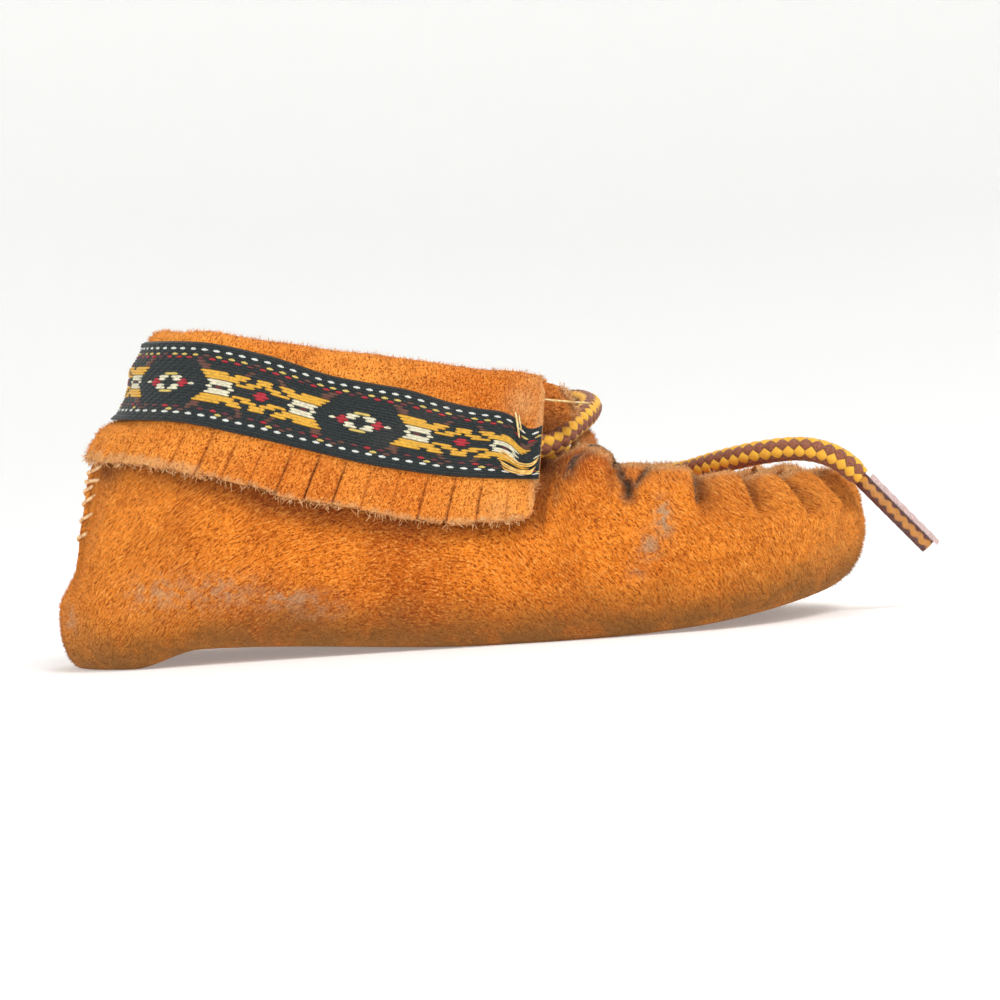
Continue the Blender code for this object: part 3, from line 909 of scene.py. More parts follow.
def leaned(turn, share):
    """The turn that a column reaches at a share of the side's height: it leans away below the rim
    and comes back to the sole."""
    near, down = shoe_side(turn), 1 - share
    leans = ((0.0, 0.0), *zip(valley_turns(), (valley.lean for valley in VALLEYS)), (0.5, 0.0))
    k = max(i for i in range(len(leans) - 1) if leans[i][0] <= near)
    share = (near - leans[k][0]) / (leans[k + 1][0] - leans[k][0])
    lean = leans[k][1] + (leans[k + 1][1] - leans[k][1]) * share
    moved = near + lean * LEAN_REACH * down * (1 - smooth(0.5, 1.0, down))
    return moved if turn <= 0.5 else 1 - moved


def gather(turn, below):
    """The pleats in a column at a point `below` the rim: height from -1 in a valley to 1 on a lobe,
    the slit's strength and how strong the painted shade in the valley is."""
    near, marks = shoe_side(turn), valley_turns()
    if near < marks[0]:
        fade = smooth(marks[0] - 0.03, marks[0], near)
        reach = 1 - smooth(0.5, VALLEYS[0].reach, below)
        return -fade * reach, 0.0, 0.3 * fade * reach
    for k, mark_here in enumerate(marks):
        last = k + 1 == len(marks)
        ahead = 1 - mark_here if last else marks[k + 1]
        if mark_here <= near <= ahead:
            phase = (near - mark_here) / (ahead - mark_here)
            rise = smooth(0.0, 0.66, phase) ** 0.8
            crest = rise * (1 - smooth(0.93, 1.0, phase)) if not last else math.sin(math.pi * phase)
            next_k = k if last else k + 1
            reach = VALLEYS[k].reach + (VALLEYS[next_k].reach - VALLEYS[k].reach) * phase
            fade = 1 - smooth(0.5, reach, below)
            slit = math.exp(-(((near - mark_here) / SLIT_HALF) ** 2))
            slit = max(slit, math.exp(-((phase / 0.13) ** 2))) * (1 - smooth(3.5, 6.5, below))
            dark = VALLEYS[k].dark * math.exp(-((phase / 0.36) ** 2)) * (1 - smooth(4.0, reach, below))
            return (2 * crest - 1) * fade, slit * VALLEYS[k].dark, dark
    return 0.0, 0.0, 0.0


def line_distance(x, z, start, end):
    """How far a point lies from a line."""
    dx, dz = end[0] - start[0], end[1] - start[1]
    share = ((x - start[0]) * dx + (z - start[1]) * dz) / (dx * dx + dz * dz)
    share = min(max(share, 0.0), 1.0)
    return math.hypot(x - start[0] - dx * share, z - start[1] - dz * share)


def grooved(point):
    """How deep the thread's lines are at a point of the side, and how strong their painted shade is."""
    depth = dark = 0.0
    if 15 < point.x < 33 and point.z > 17:
        for groove in GROOVES:
            away = line_distance(point.x, point.z, groove.start, groove.end) / groove.half
            if away < 3:
                depth = max(depth, groove.depth * math.exp(-(away**2)))
                dark = max(dark, groove.dark * math.exp(-((away / 1.25) ** 2)))
    return depth, dark


# %% The outer face
def heel_draw(turn, height):
    """How far the band draws the cuff, and the side under it, in at the back of the heel."""
    along = along_of(turn)
    foot, top = read(BAND_FOOT, along), read(FOLD, along)
    waist = smooth(foot - 0.8, foot + 0.8, height) * (1 - smooth(foot + 2.5, top - 5, height))
    shoulder = smooth(top - 6.5, top - FOLD_RADIUS, height)
    return (1.3 * waist + 1.1 * shoulder) * smooth(24, 5, travelled(shoe_side(turn % 1.0)))


# The sole's rows run in to its middle line, and in fans to these two points at its ends
FANS = (-57.0, 54.0)


def wrapped_point(turn, row):
    kind, share = row
    edge = outline("sole", turn)
    if kind == "sole":
        middle = min(max(edge.x, FANS[0]), FANS[1])
        point = Vector((middle + (edge.x - middle) * share, edge.y * share, 0.0))
        uneven = 0.25 * abs(rough(point, 9.0, 1.0)) * (1 - share) * smooth(1, 8, abs(edge.y))
        point.z = floor_lift(point.x) + uneven
        return point
    if kind == "curve":
        point = edge.lerp(outline("belly", turn), math.sin(share * math.pi / 2))
        height = read(BELLY_HEIGHT, along_of(turn))
        point.z = floor_lift(point.x) + height * (1 - math.cos(share * math.pi / 2))
        seam_way = from_seam(turn)
        pushed = read(HEEL_SHAPE, point.z) * smooth(22, 2, seam_way)
        point += outward(turn) * (rough(point, 8.0, 0.5) * share - pushed)
        return point
    column, along = turn, along_of(turn)
    rim = raised_rim(turn) - read(LEFT_DROP, along) * (turn > 0.5)
    base = widest_height(turn)
    height = base + (rim - base) * share
    if along > CUFF_FRONT:
        turn = leaned(turn, share)
        base = widest_height(turn)
        height = base + (rim - base) * share
    top = rim + FOLD_DROP * (1 - smooth(0.45, 0.55, along))
    point = side(turn, height, top)
    out = outward(turn)
    point -= out * (under_cuff(turn, height) + heel_draw(turn, height))
    if along > PLEATED_FROM:
        lobe, slit, _ = gather(column, rim - height)
        near_rim = smooth(0.82, 1.0, share)
        push = LOBE_OUT * lobe if lobe > 0 else VALLEY_IN * lobe
        push = push * (1 - 0.55 * near_rim) - SLIT_DEPTH * slit - grooved(point)[0]
        point += out * push
        lift = LOBE_RISE * lobe if lobe > 0 else VALLEY_SINK * lobe
        point.z += lift * smooth(0.55, 1.0, share)
    seam_way = from_seam(turn)
    stands = smooth(11, 17, height) * (1 - smooth(33, 36, height))
    seam = math.exp(-((seam_way / SEAM_HALF) ** 4)) - 0.55 * math.exp(-((seam_way / 0.22) ** 2))
    falls = 0.7 * smooth(9, 2, seam_way) + 1.5 * smooth(0.8, 4.5, seam_way) * smooth(19, 8, seam_way)
    point += out * stands * (SEAM_OUT * seam - falls)
    flat = math.sin(math.pi * smooth(9, 36, height)) * (height < 36)
    point -= out * (HEEL_FLAT * flat + read(HEEL_SHAPE, height)) * smooth(22, 2, seam_way)
    uncovered = 1 - smooth(read(HEM, along) - 2, read(HEM, along) + 3, height) * (along < CUFF_FRONT)
    dent = rough(point, 13.0, 0.9) + rough(point + Vector((50, 0, 0)), 5.0, 0.3)
    point += out * dent * uncovered * smooth(0.0, 0.15, share) * (1 - smooth(0.8, 1.0, share))
    return point


# %% Marks on the side
STREAK_PLACES = (0.0, 0.12, 0.22, 0.30, 0.42, 0.5)
STREAK_SLOPES = (0.9, 0.8, 0.1, -0.9, -1.4, 0.0)
STREAKS = tuple(zip(STREAK_PLACES, STREAK_SLOPES))

# Rubbed grey places: x, height, half length, half height and strength
SCUFFS = (
    (32.0, 17.2, 1.3, 2.6, 0.95),
    (29.6, 13.4, 1.5, 2.0, 0.75),
    (27.5, 9.6, 1.4, 1.4, 0.35),
    (-24.5, 9.2, 5.0, 1.2, 0.8),
    (-20.0, 7.0, 3.6, 1.0, 0.5),
    (-59.6, 8.2, 1.2, 1.8, 0.85),
    (-44.0, 11.5, 5.0, 2.6, 0.6),
    (-35.0, 11.0, 6.0, 2.4, 0.6),
)


# Dark places under the fringe, partly painted shadow, partly real stains: x, height, half length, half
# height and strength
FRINGE_SHADOW_AND_STAINS = ((-52.5, 30.4, 4.5, 1.9, 0.8), (-44.0, 29.0, 3.0, 1.0, 0.4))


def streak_slope(turn):
    """How steeply the nap's streaks rise or fall at a turn."""
    return read(STREAKS, shoe_side(turn)) * (1 if turn < 0.5 else -1)


@lru_cache(maxsize=None)
def streak_rise():
    """The height that a streak of nap has gained at each step of the way round."""
    risen, walked = [0.0], way_round()
    for k in range(ROUND_STEPS):
        slope = streak_slope((k + 0.5) / ROUND_STEPS)
        risen.append(risen[-1] + slope * (walked[k + 1] - walked[k]))
    return risen


def spot(point, x, z, half_long, half_high, strength):
    """How strong a soft spot of the side is at a point."""
    away = ((point.x - x) / half_long) ** 2 + ((point.z - z) / half_high) ** 2
    return strength * math.exp(-away)


def wrapped_marks(turn, row, point):
    kind, share = row
    along, rim = along_of(turn), rim_height(turn)
    across = {"sole": -13 - 25 * (1 - share), "curve": -13 + 13 * share, "side": 0.0}[kind]
    if kind == "side":
        across = (rim - widest_height(turn)) * share
    slope, rise = streak_slope(turn), streak_rise()[round(turn * ROUND_STEPS)]
    ahead = Vector((-outward(turn).y, outward(turn).x, 0.0))
    above = point.z - floor_lift(point.x)
    found = {
        "lie": (travelled(turn), across - rise, 0.0),
        "comb": (ahead + Vector((0, 0, slope))).normalized(),
        "low": 1 - smooth(0.5, 9.5 + rough(point, 6.0, 4.0), above),
        "scuff": max(spot(point, *scuff) for scuff in SCUFFS),
    }
    if kind == "side":
        hem = read(HEM, along)
        below_hem = hem - point.z
        covered = along < CUFF_FRONT and below_hem < -1.5
        found["nap"] = 0.0 if covered else 1.0
        # Painted shadow of the cuff just below its hem, and dark places under the fringe that are partly
        # painted shadow, partly real stains
        shades_and_stains = [0.55 * smooth(3.5, 0.0, below_hem)] if along < 0.61 else [0.0]
        shades_and_stains += [spot(point, *dark_place) for dark_place in FRINGE_SHADOW_AND_STAINS]
        seam_way = from_seam(turn)
        sewn = smooth(6.5, 4.0, seam_way) * smooth(16, 19, point.z)
        found["nap"] *= 1 - 0.9 * sewn
        # Painted shade in the pinches along the heel's seam
        pinch = 0.5 + 0.5 * math.sin(point.z * 2.3)
        shades_and_stains.append(0.6 * sewn * pinch * smooth(5, 1, seam_way))
        if along > PLEATED_FROM:
            # Painted shade in the valleys, slits and grooves, and high on the right side in front of the
            # cuff, where the lace comes out
            _, slit, dark = gather(turn, rim - point.z)
            groove_dark = grooved(point)[1]
            shade = 0.8 * smooth(22.5, 25.5, point.z) * (turn < 0.5) * smooth(0.64, 0.61, along)
            shades_and_stains += [0.82 * dark, groove_dark, shade, slit]
            found["scuff"] = max(found["scuff"], 0.3 * slit, 0.3 * groove_dark)
        found["hollow"] = max(shades_and_stains)
        found["raw"] = 0.85 * smooth(0.93, 1.0, share) * (along > CUFF_FRONT)
    elif kind == "curve":
        found["nap"] = smooth(0.1, 0.6, share)
    return found


# %% Columns and rows of the body
def body_turns():
    """Turns all the way round: fine at the heel seam and at the pleats, coarser between."""
    half = [0.0, 0.0004, 0.0008, 0.0013, 0.002, 0.003, 0.004, 0.0052, 0.0066, 0.008]
    half += even(half[-1], turn_of(0.6), 128)[1:]
    crowd = (-0.006, -0.0045, -0.0032, -0.0022, -0.0014, -0.0007, 0.0, 0.0007, 0.0015, 0.0026, 0.004)
    crowded = [valley + step for valley in valley_turns() for step in crowd]
    plain = even(half[-1], 0.5, 100)[1:]
    clear = [turn for turn in plain if min(abs(turn - other) for other in crowded) > 0.0013]
    half += sorted(clear + [turn for turn in crowded if half[-1] < turn < 0.4995])
    notch = even(turn_of(0.664), turn_of(0.752), 46)
    clear = [turn for turn in notch if min(abs(turn - other) for other in half) > 0.0003]
    return sorted(half + clear) + [1 - turn for turn in reversed(half[:-1])]


BODY_ROWS = [("sole", share) for share in even(0.0, 1.0, 9)]
BODY_ROWS += [("curve", share) for share in even(0.0, 1.0, 10)[1:]]
BODY_ROWS += [("side", share) for share in even(0.0, 0.5, 22)[1:]]
BODY_ROWS += [("side", share) for share in even(0.5, 0.9, 24)[1:]]
BODY_ROWS += [("side", share) for share in even(0.9, 1.0, 8)[1:]]
body_mesh = lay("suede_sides", body_turns(), BODY_ROWS, wrapped_point, wrapped_marks)
piece("suede_sides", body_mesh, suede, "wrapped_sole_and_sides", WALL)

# %% [markdown]
# ## Plug, tongue and insole
#
# The plug is the inset on top of the toe: a shallow dish of suede under the gathered edge, pulled into
# ripples where each pleat is sewn to it. The tongue runs from under the plug and stands up behind the
# lace; it is thin, its free edge is raw and fluffy, and it cups towards the foot. The insole is plain
# tan leather, glued in flat.

# %% Plug
PLUG_REAR, PLUG_FRONT, PLUG_TUCK, PLUG_DROP, PLUG_DISH = 24.5, 0.94, 0.2, 2.9, 2.1


def plug_point(across, turn):
    edge = outline("rim", turn) + outward(turn, ("rim",)) * PLUG_TUCK
    heel, toe = ENDS["rim"]
    rim = rim_height(turn_of(min((edge.x - heel) / (toe - heel), 1.0)))
    height = rim - PLUG_DROP - PLUG_DISH * (1 - across**2)
    lobe = gather(turn, 0.0)[0]
    height -= 0.8 * smooth(0.6, 1.0, abs(across)) * smooth(30, 36, edge.x) * (1 - smooth(50, 56, edge.x))
    height += 0.28 * lobe * smooth(0.45, 0.85, abs(across)) + rough((edge.x, 40 * across, 0), 7.0, 0.3)
    return Vector((edge.x, -edge.y * across, height))


def plug_marks(across, turn, point):
    return {
        "lie": (point.y, point.x * 0.8, 5.0),
        "comb": (0.8, 0.2, 0.2),
        # Painted shade at the plug's sides, under the gathered edge
        "hollow": 0.75 * smooth(0.7, 1.0, abs(across)),
        "nap": 1.0 - smooth(0.8, 0.95, abs(across)),
    }


heel_x, toe_x = ENDS["rim"]
plug_turns = even(turn_of((PLUG_REAR - heel_x) / (toe_x - heel_x)), 0.5 * PLUG_FRONT, 110)
plug_mesh = lay("suede_plug", even(1.0, -1.0, 90), plug_turns, plug_point, plug_marks)
piece("suede_plug", plug_mesh, suede, "vamp_plug", PLUG_WALL)

# %% Tongue
TONGUE_PLACES = (0.00, 0.20, 0.33, 0.46, 0.57, 0.68, 0.80, 0.91, 1.00)
TONGUE_X = tuple(zip(TONGUE_PLACES, (34.0, 29.0, 25.3, 22.7, 22.2, 21.4, 19.7, 19.2, 19.4)))
TONGUE_Z = tuple(zip(TONGUE_PLACES, (17.6, 17.9, 18.4, 22.0, 26.2, 29.0, 32.0, 34.6, 36.6)))
TONGUE_WIDTH = tuple(zip(TONGUE_PLACES, (0.90, 1.0, 1.0, 0.98, 0.97, 0.96, 0.93, 0.86, 0.66)))
TONGUE_HALF, TONGUE_CURVE, TONGUE_BULGE = 9.5, 2.4, 1.5


def tongue_point(across, along):
    half = TONGUE_HALF * read(TONGUE_WIDTH, along)
    standing = smooth(0.25, 0.6, along)
    x = read(TONGUE_X, along) - TONGUE_CURVE * across**2 * standing
    z = read(TONGUE_Z, along) - 0.6 * across**2 * (1 - standing)
    x += TONGUE_BULGE * math.exp(-(((z - 29.6) / 2.2) ** 2)) * smooth(26, 28, z)
    ragged = rough((half * across, 0, 3.0), 1.3, 0.5) * smooth(0.9, 1.0, along)
    point = Vector((x, half * across, z + ragged))
    return point + Vector((rough(point, 6.0, 0.4), 0, 0)) * standing


def tongue_marks(across, along, point):
    return {
        "lie": (point.y * 0.6, point.z + 0.4 * point.y, 9.0),
        "comb": (0.1, 0.0, 1.0),
        "raw": max(0.35, smooth(0.86, 1.0, along), smooth(0.8, 1.0, abs(across))),
        "nap": smooth(0.3, 0.5, along),
    }


tongue_mesh = lay("suede_tongue", even(-1.0, 1.0, 64), even(0.0, 1.0, 120), tongue_point, tongue_marks)
piece("suede_tongue", tongue_mesh, suede, "tongue", TONGUE_WALL)

# %% Insole
INSOLE_INSET, INSOLE_GAP = 1.8, 0.5


def insole_point(turn, share):
    edge = outline("sole", turn) - outward(turn, ("sole",)) * INSOLE_INSET
    height = floor_lift(edge.x) + WALL + INSOLE_GAP + INSOLE_WALL
    return Vector((edge.x, edge.y * share, height))


def tan_leather():
    """Smooth vegetable tan: pebbled by a Voronoi of cells, darker along the lines between the cells."""
    made, tree, shader = new_material("tan_leather")
    place = object_place(tree)
    cells = node(tree, "TexVoronoi", {"Vector": place, "Scale": 1500.0}, feature="DISTANCE_TO_EDGE")
    pebble = stretch(tree, cells.outputs["Distance"], 0.0, 0.25)
    clouds = grain(tree, place, 60, 3)
    base = mix(tree, clouds, colour(164, 104, 58), colour(196, 138, 84))
    base = mix(tree, stretch(tree, pebble, 1, 0, 0, 0.35), base, colour(120, 72, 38))
    put(tree, shader, {"Base Color": base, "Normal": bump(tree, pebble, 0.08, 0.6), "Roughness": 0.62})
    return made


insole_turns = even(0.0, 1.0, 160)
insole_mesh = lay("insole_sheet", insole_turns[::-1], even(0.0, 1.0, 24), insole_point)
piece("insole_sheet", insole_mesh, tan_leather(), "insole", INSOLE_WALL)

# %% [markdown]
# ## The folded cuff
#
# A band of suede stands up round the ankle, rolls over at the top and hangs down outside again. Its
# free hem was cut into fringe: slits 4.4 mm apart from the woven band down to the hem, which leaves a
# row of small square tabs that part and curl a little. The hem is a raw edge, paler and fluffy.
#
# The columns of its grid crowd at each slit, so that a slit can be a narrow, steep groove in the mesh,
# and they lean as the slits do.

# %% Walking along the cuff
SLIT_STEP, SLIT_WIDTH, SLIT_DROP = 4.4, 0.14, 0.95
TAB_COLUMNS = (0.0, 0.025, 0.05, 0.1, 0.19, 0.3, 0.42, 0.55, 0.68, 0.8, 0.9, 0.95, 0.975)
CORNER = 3.0
# How much lower than in the CAD the fold hangs along the ankle
FOLD_SAG = ((0.0, 0.6), (0.1, 0.8), (0.2, 0.9), (0.3, 0.8), (0.38, 0.7), (0.50, 0.7))
FOLD_SAG += ((0.57, 0.0), (0.6, 0.0))
# How much shorter the fringe was cut
FRINGE_CUT = ((0.0, 1.0), (0.1, 1.3), (0.35, 1.4), (0.5, 0.6), (0.6, 0.0))
CUFF_TURNS = even(0.0, turn_of(CUFF_FRONT), 400)


@lru_cache(maxsize=None)
def cuff_way():
    """The distances along the hem from the heel to the front edge, at CUFF_TURNS."""
    return distances([cuff_outer(turn, read(HEM, along_of(turn))) for turn in CUFF_TURNS])


def cuff_outer(turn, height):
    """The plain outer face of the cuff at a height between hem and fold."""
    along = along_of(turn)
    top, hem = read(FOLD, along), read(HEM, along)
    stand_off = HEM_STAND_OFF * (1 - smooth(hem, top - FOLD_RADIUS, height))
    return side(turn, height, top) + outward(turn) * (stand_off - heel_draw(turn, height))


def cuff_face(turn, height):
    """The outer face again, which follows the fold's round above its straight part."""
    straight = read(FOLD, along_of(turn)) - FOLD_RADIUS
    if height <= straight:
        return cuff_outer(turn, height)
    angle = math.asin(min((height - straight) / FOLD_RADIUS, 1.0))
    point = cuff_outer(turn, straight) - outward(turn) * FOLD_RADIUS * (1 - math.cos(angle))
    return point + Vector((0, 0, height - straight))


def turn_at(distance, walked):
    """The turn at a signed way from the heel, for the distances walked at CUFF_TURNS."""
    want = min(abs(distance), walked[-1])
    k = max(i for i in range(len(walked) - 1) if walked[i] <= want)
    share = (want - walked[k]) / (walked[k + 1] - walked[k])
    return math.copysign(CUFF_TURNS[k] + (CUFF_TURNS[k + 1] - CUFF_TURNS[k]) * share, distance)


def cuff_turn(distance):
    return turn_at(distance, cuff_way())


CUFF_LENGTH = cuff_way()[-1]
print("cuff: hem", round(2 * CUFF_LENGTH), "mm,", int(2 * CUFF_LENGTH / SLIT_STEP), "tabs")


# %% The tabs
def tab_of(distance):
    """The tab that a place on the hem belongs to, and the share of the tab before it."""
    from_front = (CUFF_LENGTH - distance) / SLIT_STEP
    return math.floor(from_front + 1e-6), (from_front + 1e-6) % 1.0


TABS = int(2 * CUFF_LENGTH / SLIT_STEP) + 2
TAB_LIFT = [chance.uniform(-0.1, 0.3) for _ in range(TABS)]
TAB_TWIST = [chance.uniform(-0.16, 0.16) for _ in range(TABS)]
TAB_DROP = [chance.uniform(-0.2, 0.2) for _ in range(TABS)]
TAB_SLANT = [chance.uniform(-0.2, 0.2) for _ in range(TABS)]
SLIT_OPEN = [chance.choice((0.2, 0.45, 0.6, 0.8, 1.0)) for _ in range(TABS + 2)]


def slit_open(way, tab, inside):
    """How wide the slit beside a place of a tab is open, which is less at the heel."""
    return SLIT_OPEN[tab if inside < 0.5 else tab + 1] * (0.3 + 0.7 * smooth(12, 40, abs(way)))


def cuff_columns():
    """Signed ways from the heel, crowded on both sides of each slit."""
    found = []
    for tab in range(TABS):
        for share in TAB_COLUMNS:
            found.append(CUFF_LENGTH - (tab + share) * SLIT_STEP)
    return sorted(way for way in found + [-CUFF_LENGTH] if way >= -CUFF_LENGTH)


def cuff_point(way, row):
    kind, share = row
    straight_drop = 0.35 * (1 - share) if kind == "outside" else 0.0
    turn = cuff_turn(way - straight_drop * min(1.0, (CUFF_LENGTH - abs(way)) / 12.0))
    along, out = along_of(turn), outward(turn)
    fold, hem, foot = read(FOLD, along), read(HEM, along), read(BAND_FOOT, along)
    straight = fold - FOLD_RADIUS
    tab, inside = tab_of(way)
    from_edge = CUFF_LENGTH - abs(way)
    if kind == "outside":
        corner = max(0.0, 1 - from_edge / CORNER)
        lift = CORNER * (1 - math.sqrt(max(0.0, 1 - corner**2))) * 0.85
        lowest = hem + read(FRINGE_CUT, along) + lift + TAB_DROP[tab] + TAB_SLANT[tab] * (inside - 0.5)
        lowest += rough((way, 0, 0), 0.8, 0.22)
        height = lowest + (straight - lowest) * share
        point = cuff_outer(turn, height)
        free = smooth(foot + 0.3, hem, height)
        away = min(inside, 1 - inside) * SLIT_STEP
        slit = math.exp(-((away / SLIT_WIDTH) ** 2)) * slit_open(way, tab, inside)
        rounding = 0.2 * math.exp(-away / 0.3)
        flare = 1.1 * smooth(foot + 0.2, foot - 1.4, height) * smooth(hem - 1.0, hem + 2.5, height)
        point += out * flare * smooth(24, 5, abs(way))
        point.z -= read(FOLD_SAG, along) * smooth(read(BAND_TOP, along), straight, height)
        point += out * free * (TAB_LIFT[tab] + TAB_TWIST[tab] * (inside - 0.5) * 2 - rounding)
        point -= out * SLIT_DROP * slit * smooth(0.0, 0.25, free)
        point += out * rough(point, 9.0, 0.45) * (0.4 + 0.6 * free)
        return point
    front = smooth(*INNER_LEG_END, along)
    angle = math.radians(FOLD_TURN + (FOLD_TURN_FRONT - FOLD_TURN) * front)
    leg = INNER_LEG + (INNER_LEG_FRONT - INNER_LEG) * front
    if kind == "fold":
        angle, leg = angle * share, 0.0
    point = cuff_outer(turn, straight)
    point -= out * (FOLD_RADIUS * (1 - math.cos(angle)) + leg * share * math.sin(angle))
    point.z += FOLD_RADIUS * math.sin(angle) + leg * share * math.cos(angle)
    point += out * rough(cuff_outer(turn, straight), 9.0, 0.45) * 0.4 * (1 - share)
    point.z += rough((way, 7, 0), 11.0, 0.5) * math.sin(math.pi * min(share, 1.0)) - read(FOLD_SAG, along)
    return point


# Worn places of the cuff: x, y side, height, radius and strength
CUFF_WEAR = ((12.6, -1, 35.6, 2.6, 0.6), (14.8, -1, 38.5, 2.0, 0.35), (8.0, -1, 20.0, 2.4, 0.3))


def cuff_marks(way, row, point):
    kind, share = row
    turn = cuff_turn(way)
    hem, foot = read(HEM, along_of(turn)), read(BAND_FOOT, along_of(turn))
    tab, inside = tab_of(way)
    found = {"lie": (1.7 * point.z, way, 20.0), "comb": (0.2, 0.0, -0.4), "raw": 0.0, "nap": 1.0}
    if kind == "outside":
        above = point.z - hem - read(FRINGE_CUT, along_of(turn)) - TAB_DROP[tab]
        found["raw"] = 0.7 * smooth(0.9, 0.0, above + rough((way, 0, 9), 1.1, 0.7))
        away = min(inside, 1 - inside) * SLIT_STEP
        below_band = smooth(foot + 0.5, foot - 0.8, point.z)
        slit = slit_open(way, tab, inside)
        # Painted shade in the slits between the tabs
        found["hollow"] = 0.7 * slit * math.exp(-((away / 0.18) ** 2)) * below_band
        band = foot - 0.3 < point.z < read(BAND_TOP, along_of(turn)) + 0.3
        found["nap"] = 0.0 if band else 1.0
    elif kind == "inside":
        found["raw"] = 0.5 + 0.5 * share
    for x, y_side, z, radius, strength in CUFF_WEAR:
        if point.y * y_side > 0:
            away = ((point.x - x) ** 2 + (point.z - z) ** 2) / radius**2
            found["raw"] = max(found["raw"], strength * math.exp(-away))
    edge = smooth(1.6, 0.0, CUFF_LENGTH - abs(way))
    found["raw"] = max(found["raw"], 0.6 * edge)
    return found


CUFF_ROWS = [("outside", share) for share in even(0.0, 0.12, 10)]
CUFF_ROWS += [("outside", share) for share in even(0.12, 1.0, 38)[1:]]
CUFF_ROWS += [("fold", share) for share in even(0.0, 1.0, 16)[1:]]
CUFF_ROWS += [("inside", share) for share in even(0.0, 1.0, 10)[1:]]
cuff_mesh = lay("fringed_cuff", cuff_columns(), CUFF_ROWS, cuff_point, cuff_marks)
cuff = piece("fringed_cuff", cuff_mesh, cuff_suede, "folded_cuff", CUFF_WALL)


# %% [markdown]
# At the right front end the fold's inner layer comes forward a few millimetres past the outer one: a
# soft, fluffy end of suede that the lace is tucked under. It is its own small sheet.


# %% Inner end of the cuff
END_BACK, END_AHEAD, END_TOP, END_DEEP = 11.6, 8.8, 39.3, 10.3


def cuff_end_point(ahead, down):
    x = END_BACK + END_AHEAD * ahead * (0.74 + 0.26 * down) + 0.5 * math.sin(3 * down)
    z = END_TOP - END_DEEP * down * (1 - 0.4 * ahead) - 1.5 * ahead**2 * (1 - down)
    rolled = 1.6 * (1 - down) ** 2 + 0.5 * ahead**2
    y = -16.6 + rolled + 1.8 * down**4 * (1 - ahead) + rough((x, 3, z), 2.5, 0.5)
    ragged = rough((z, 0, 5), 0.9, 0.45) * ahead**6
    return Vector((x + ragged, y, z + rough((x, 0, 8), 1.0, 0.3) * down**4))


def cuff_end_marks(ahead, down, point):
    # Painted shade, deeper low down and towards the back, under the fold
    dark = smooth(0.35, 1.0, down) * smooth(1.0, 0.55, ahead)
    return {
        "lie": (point.x + 0.4 * point.z, point.z, 30.0),
        "comb": (0.8, -0.2, -0.3),
        "hollow": 0.75 * dark,
        "raw": 0.55 * smooth(0.8, 1.0, ahead) + 0.15,
        "nap": 1.0,
    }


cuff_end_mesh = lay("cuff_end", even(0.0, 1.0, 40), even(1.0, 0.0, 40), cuff_end_point, cuff_end_marks)
piece("cuff_end", cuff_end_mesh, cuff_suede, None, CUFF_WALL)

# %% [markdown]
# ## The woven band
#
# A jacquard band, 13 mm wide, in a traditional geometric pattern of diamonds, stars and stepped
# figures. Its ground is a dark twill; the figures are floats, threads that run over several ground
# threads before they dive back in. The pattern is written as a chart, one letter per half millimetre:
# `.` ground, `g` gold, `y` pale yellow, `c` cream, `r` red, `m` maroon and `b` faded brown. It is
# symmetrical, so only a quarter of it is written: rows from the middle outwards, and columns from the
# middle of the red dot to the middle of the star.

# %% Chart of the band
MOTIF = (
    "rrr......cc..mm.cc....ccrrrr....",
    "rr........ccccccc........rrccc..",
    "...gggggg.cccccccc.........cccc.",
    ".ggggg..ggggggggggg..........yyy",
    "ggg...gggggggggggggg............",
    "ggg..ggggg..ggggggggg...........",
    ".....bb...........bbb...........",
    "....bb............bbbb..........",
    "....................bbb.........",
)
# Rows between the figures and the edges: a row's place above (or below) the middle, the colours of
# its dashes, one after the other, and how far the dashes are shifted
Dashes = namedtuple("Dashes", "row colours shift")
UPPER_DASHES = (Dashes(9, "rrrm", 2), Dashes(10, "yyyb", 0), Dashes(12, "w", 1))
LOWER_DASHES = (Dashes(8, "mrmb", 1), Dashes(9, "..yb", 3), Dashes(10, "w", 0))
ROWS_UP, ROWS_DOWN = 14, 13
BAND_ROWS = ROWS_UP + ROWS_DOWN + 1
CELL = 0.5
HALF_REPEAT = 31
DASH_EVERY = 4
STAR_X = -12.0  # the middle of a star lies here on the right side

THREADS = {
    ".": colour(26, 36, 38),
    "g": colour(246, 184, 54),
    "y": colour(240, 210, 110),
    "c": colour(246, 238, 206),
    "w": colour(250, 252, 244),
    "r": colour(196, 32, 50),
    "m": colour(118, 42, 54),
    "b": colour(112, 68, 54),
}


def thread_at(cell, row):
    """The chart's letter at a cell along the band and a row above its middle."""
    for dashes in UPPER_DASHES if row > 0 else LOWER_DASHES:
        if abs(row) == dashes.row:
            place = cell + dashes.shift
            letter = dashes.colours[(place // DASH_EVERY) % len(dashes.colours)]
            return letter if place % DASH_EVERY < 2 else "."
    if abs(row) >= len(MOTIF):
        return "."
    around = cell % (2 * HALF_REPEAT)
    return MOTIF[abs(row)][min(around, 2 * HALF_REPEAT - around, HALF_REPEAT)]


# %% [markdown]
# The mesh has two columns per cell and four steps per row, which is enough for each float to be round
# across and to sink at its ends. The ground gets the same treatment in the slanting order of a twill.
# Near the front end the band is puckered, because it was sewn to suede that has since stretched: the
# rows sag there and the middle bulges.

# %% The band's mesh
BAND_STAND_OFF, BAND_RELIEF = 0.62, 0.34
BAND_RISE = ((0.0, 0.2), (0.12, 0.1), (0.2, -0.2), (0.3, -1.0), (0.35, -0.7), (0.41, -0.2), (0.45, -0.2))
BAND_RISE += ((0.5, 0.1), (0.54, 0.6), (0.6, 0.3))
PUCKER_AT, PUCKER_WIDTH = 2.4, 1.8
# How far the end is pulled forward to the cuff's front edge
PULLED = 0.75


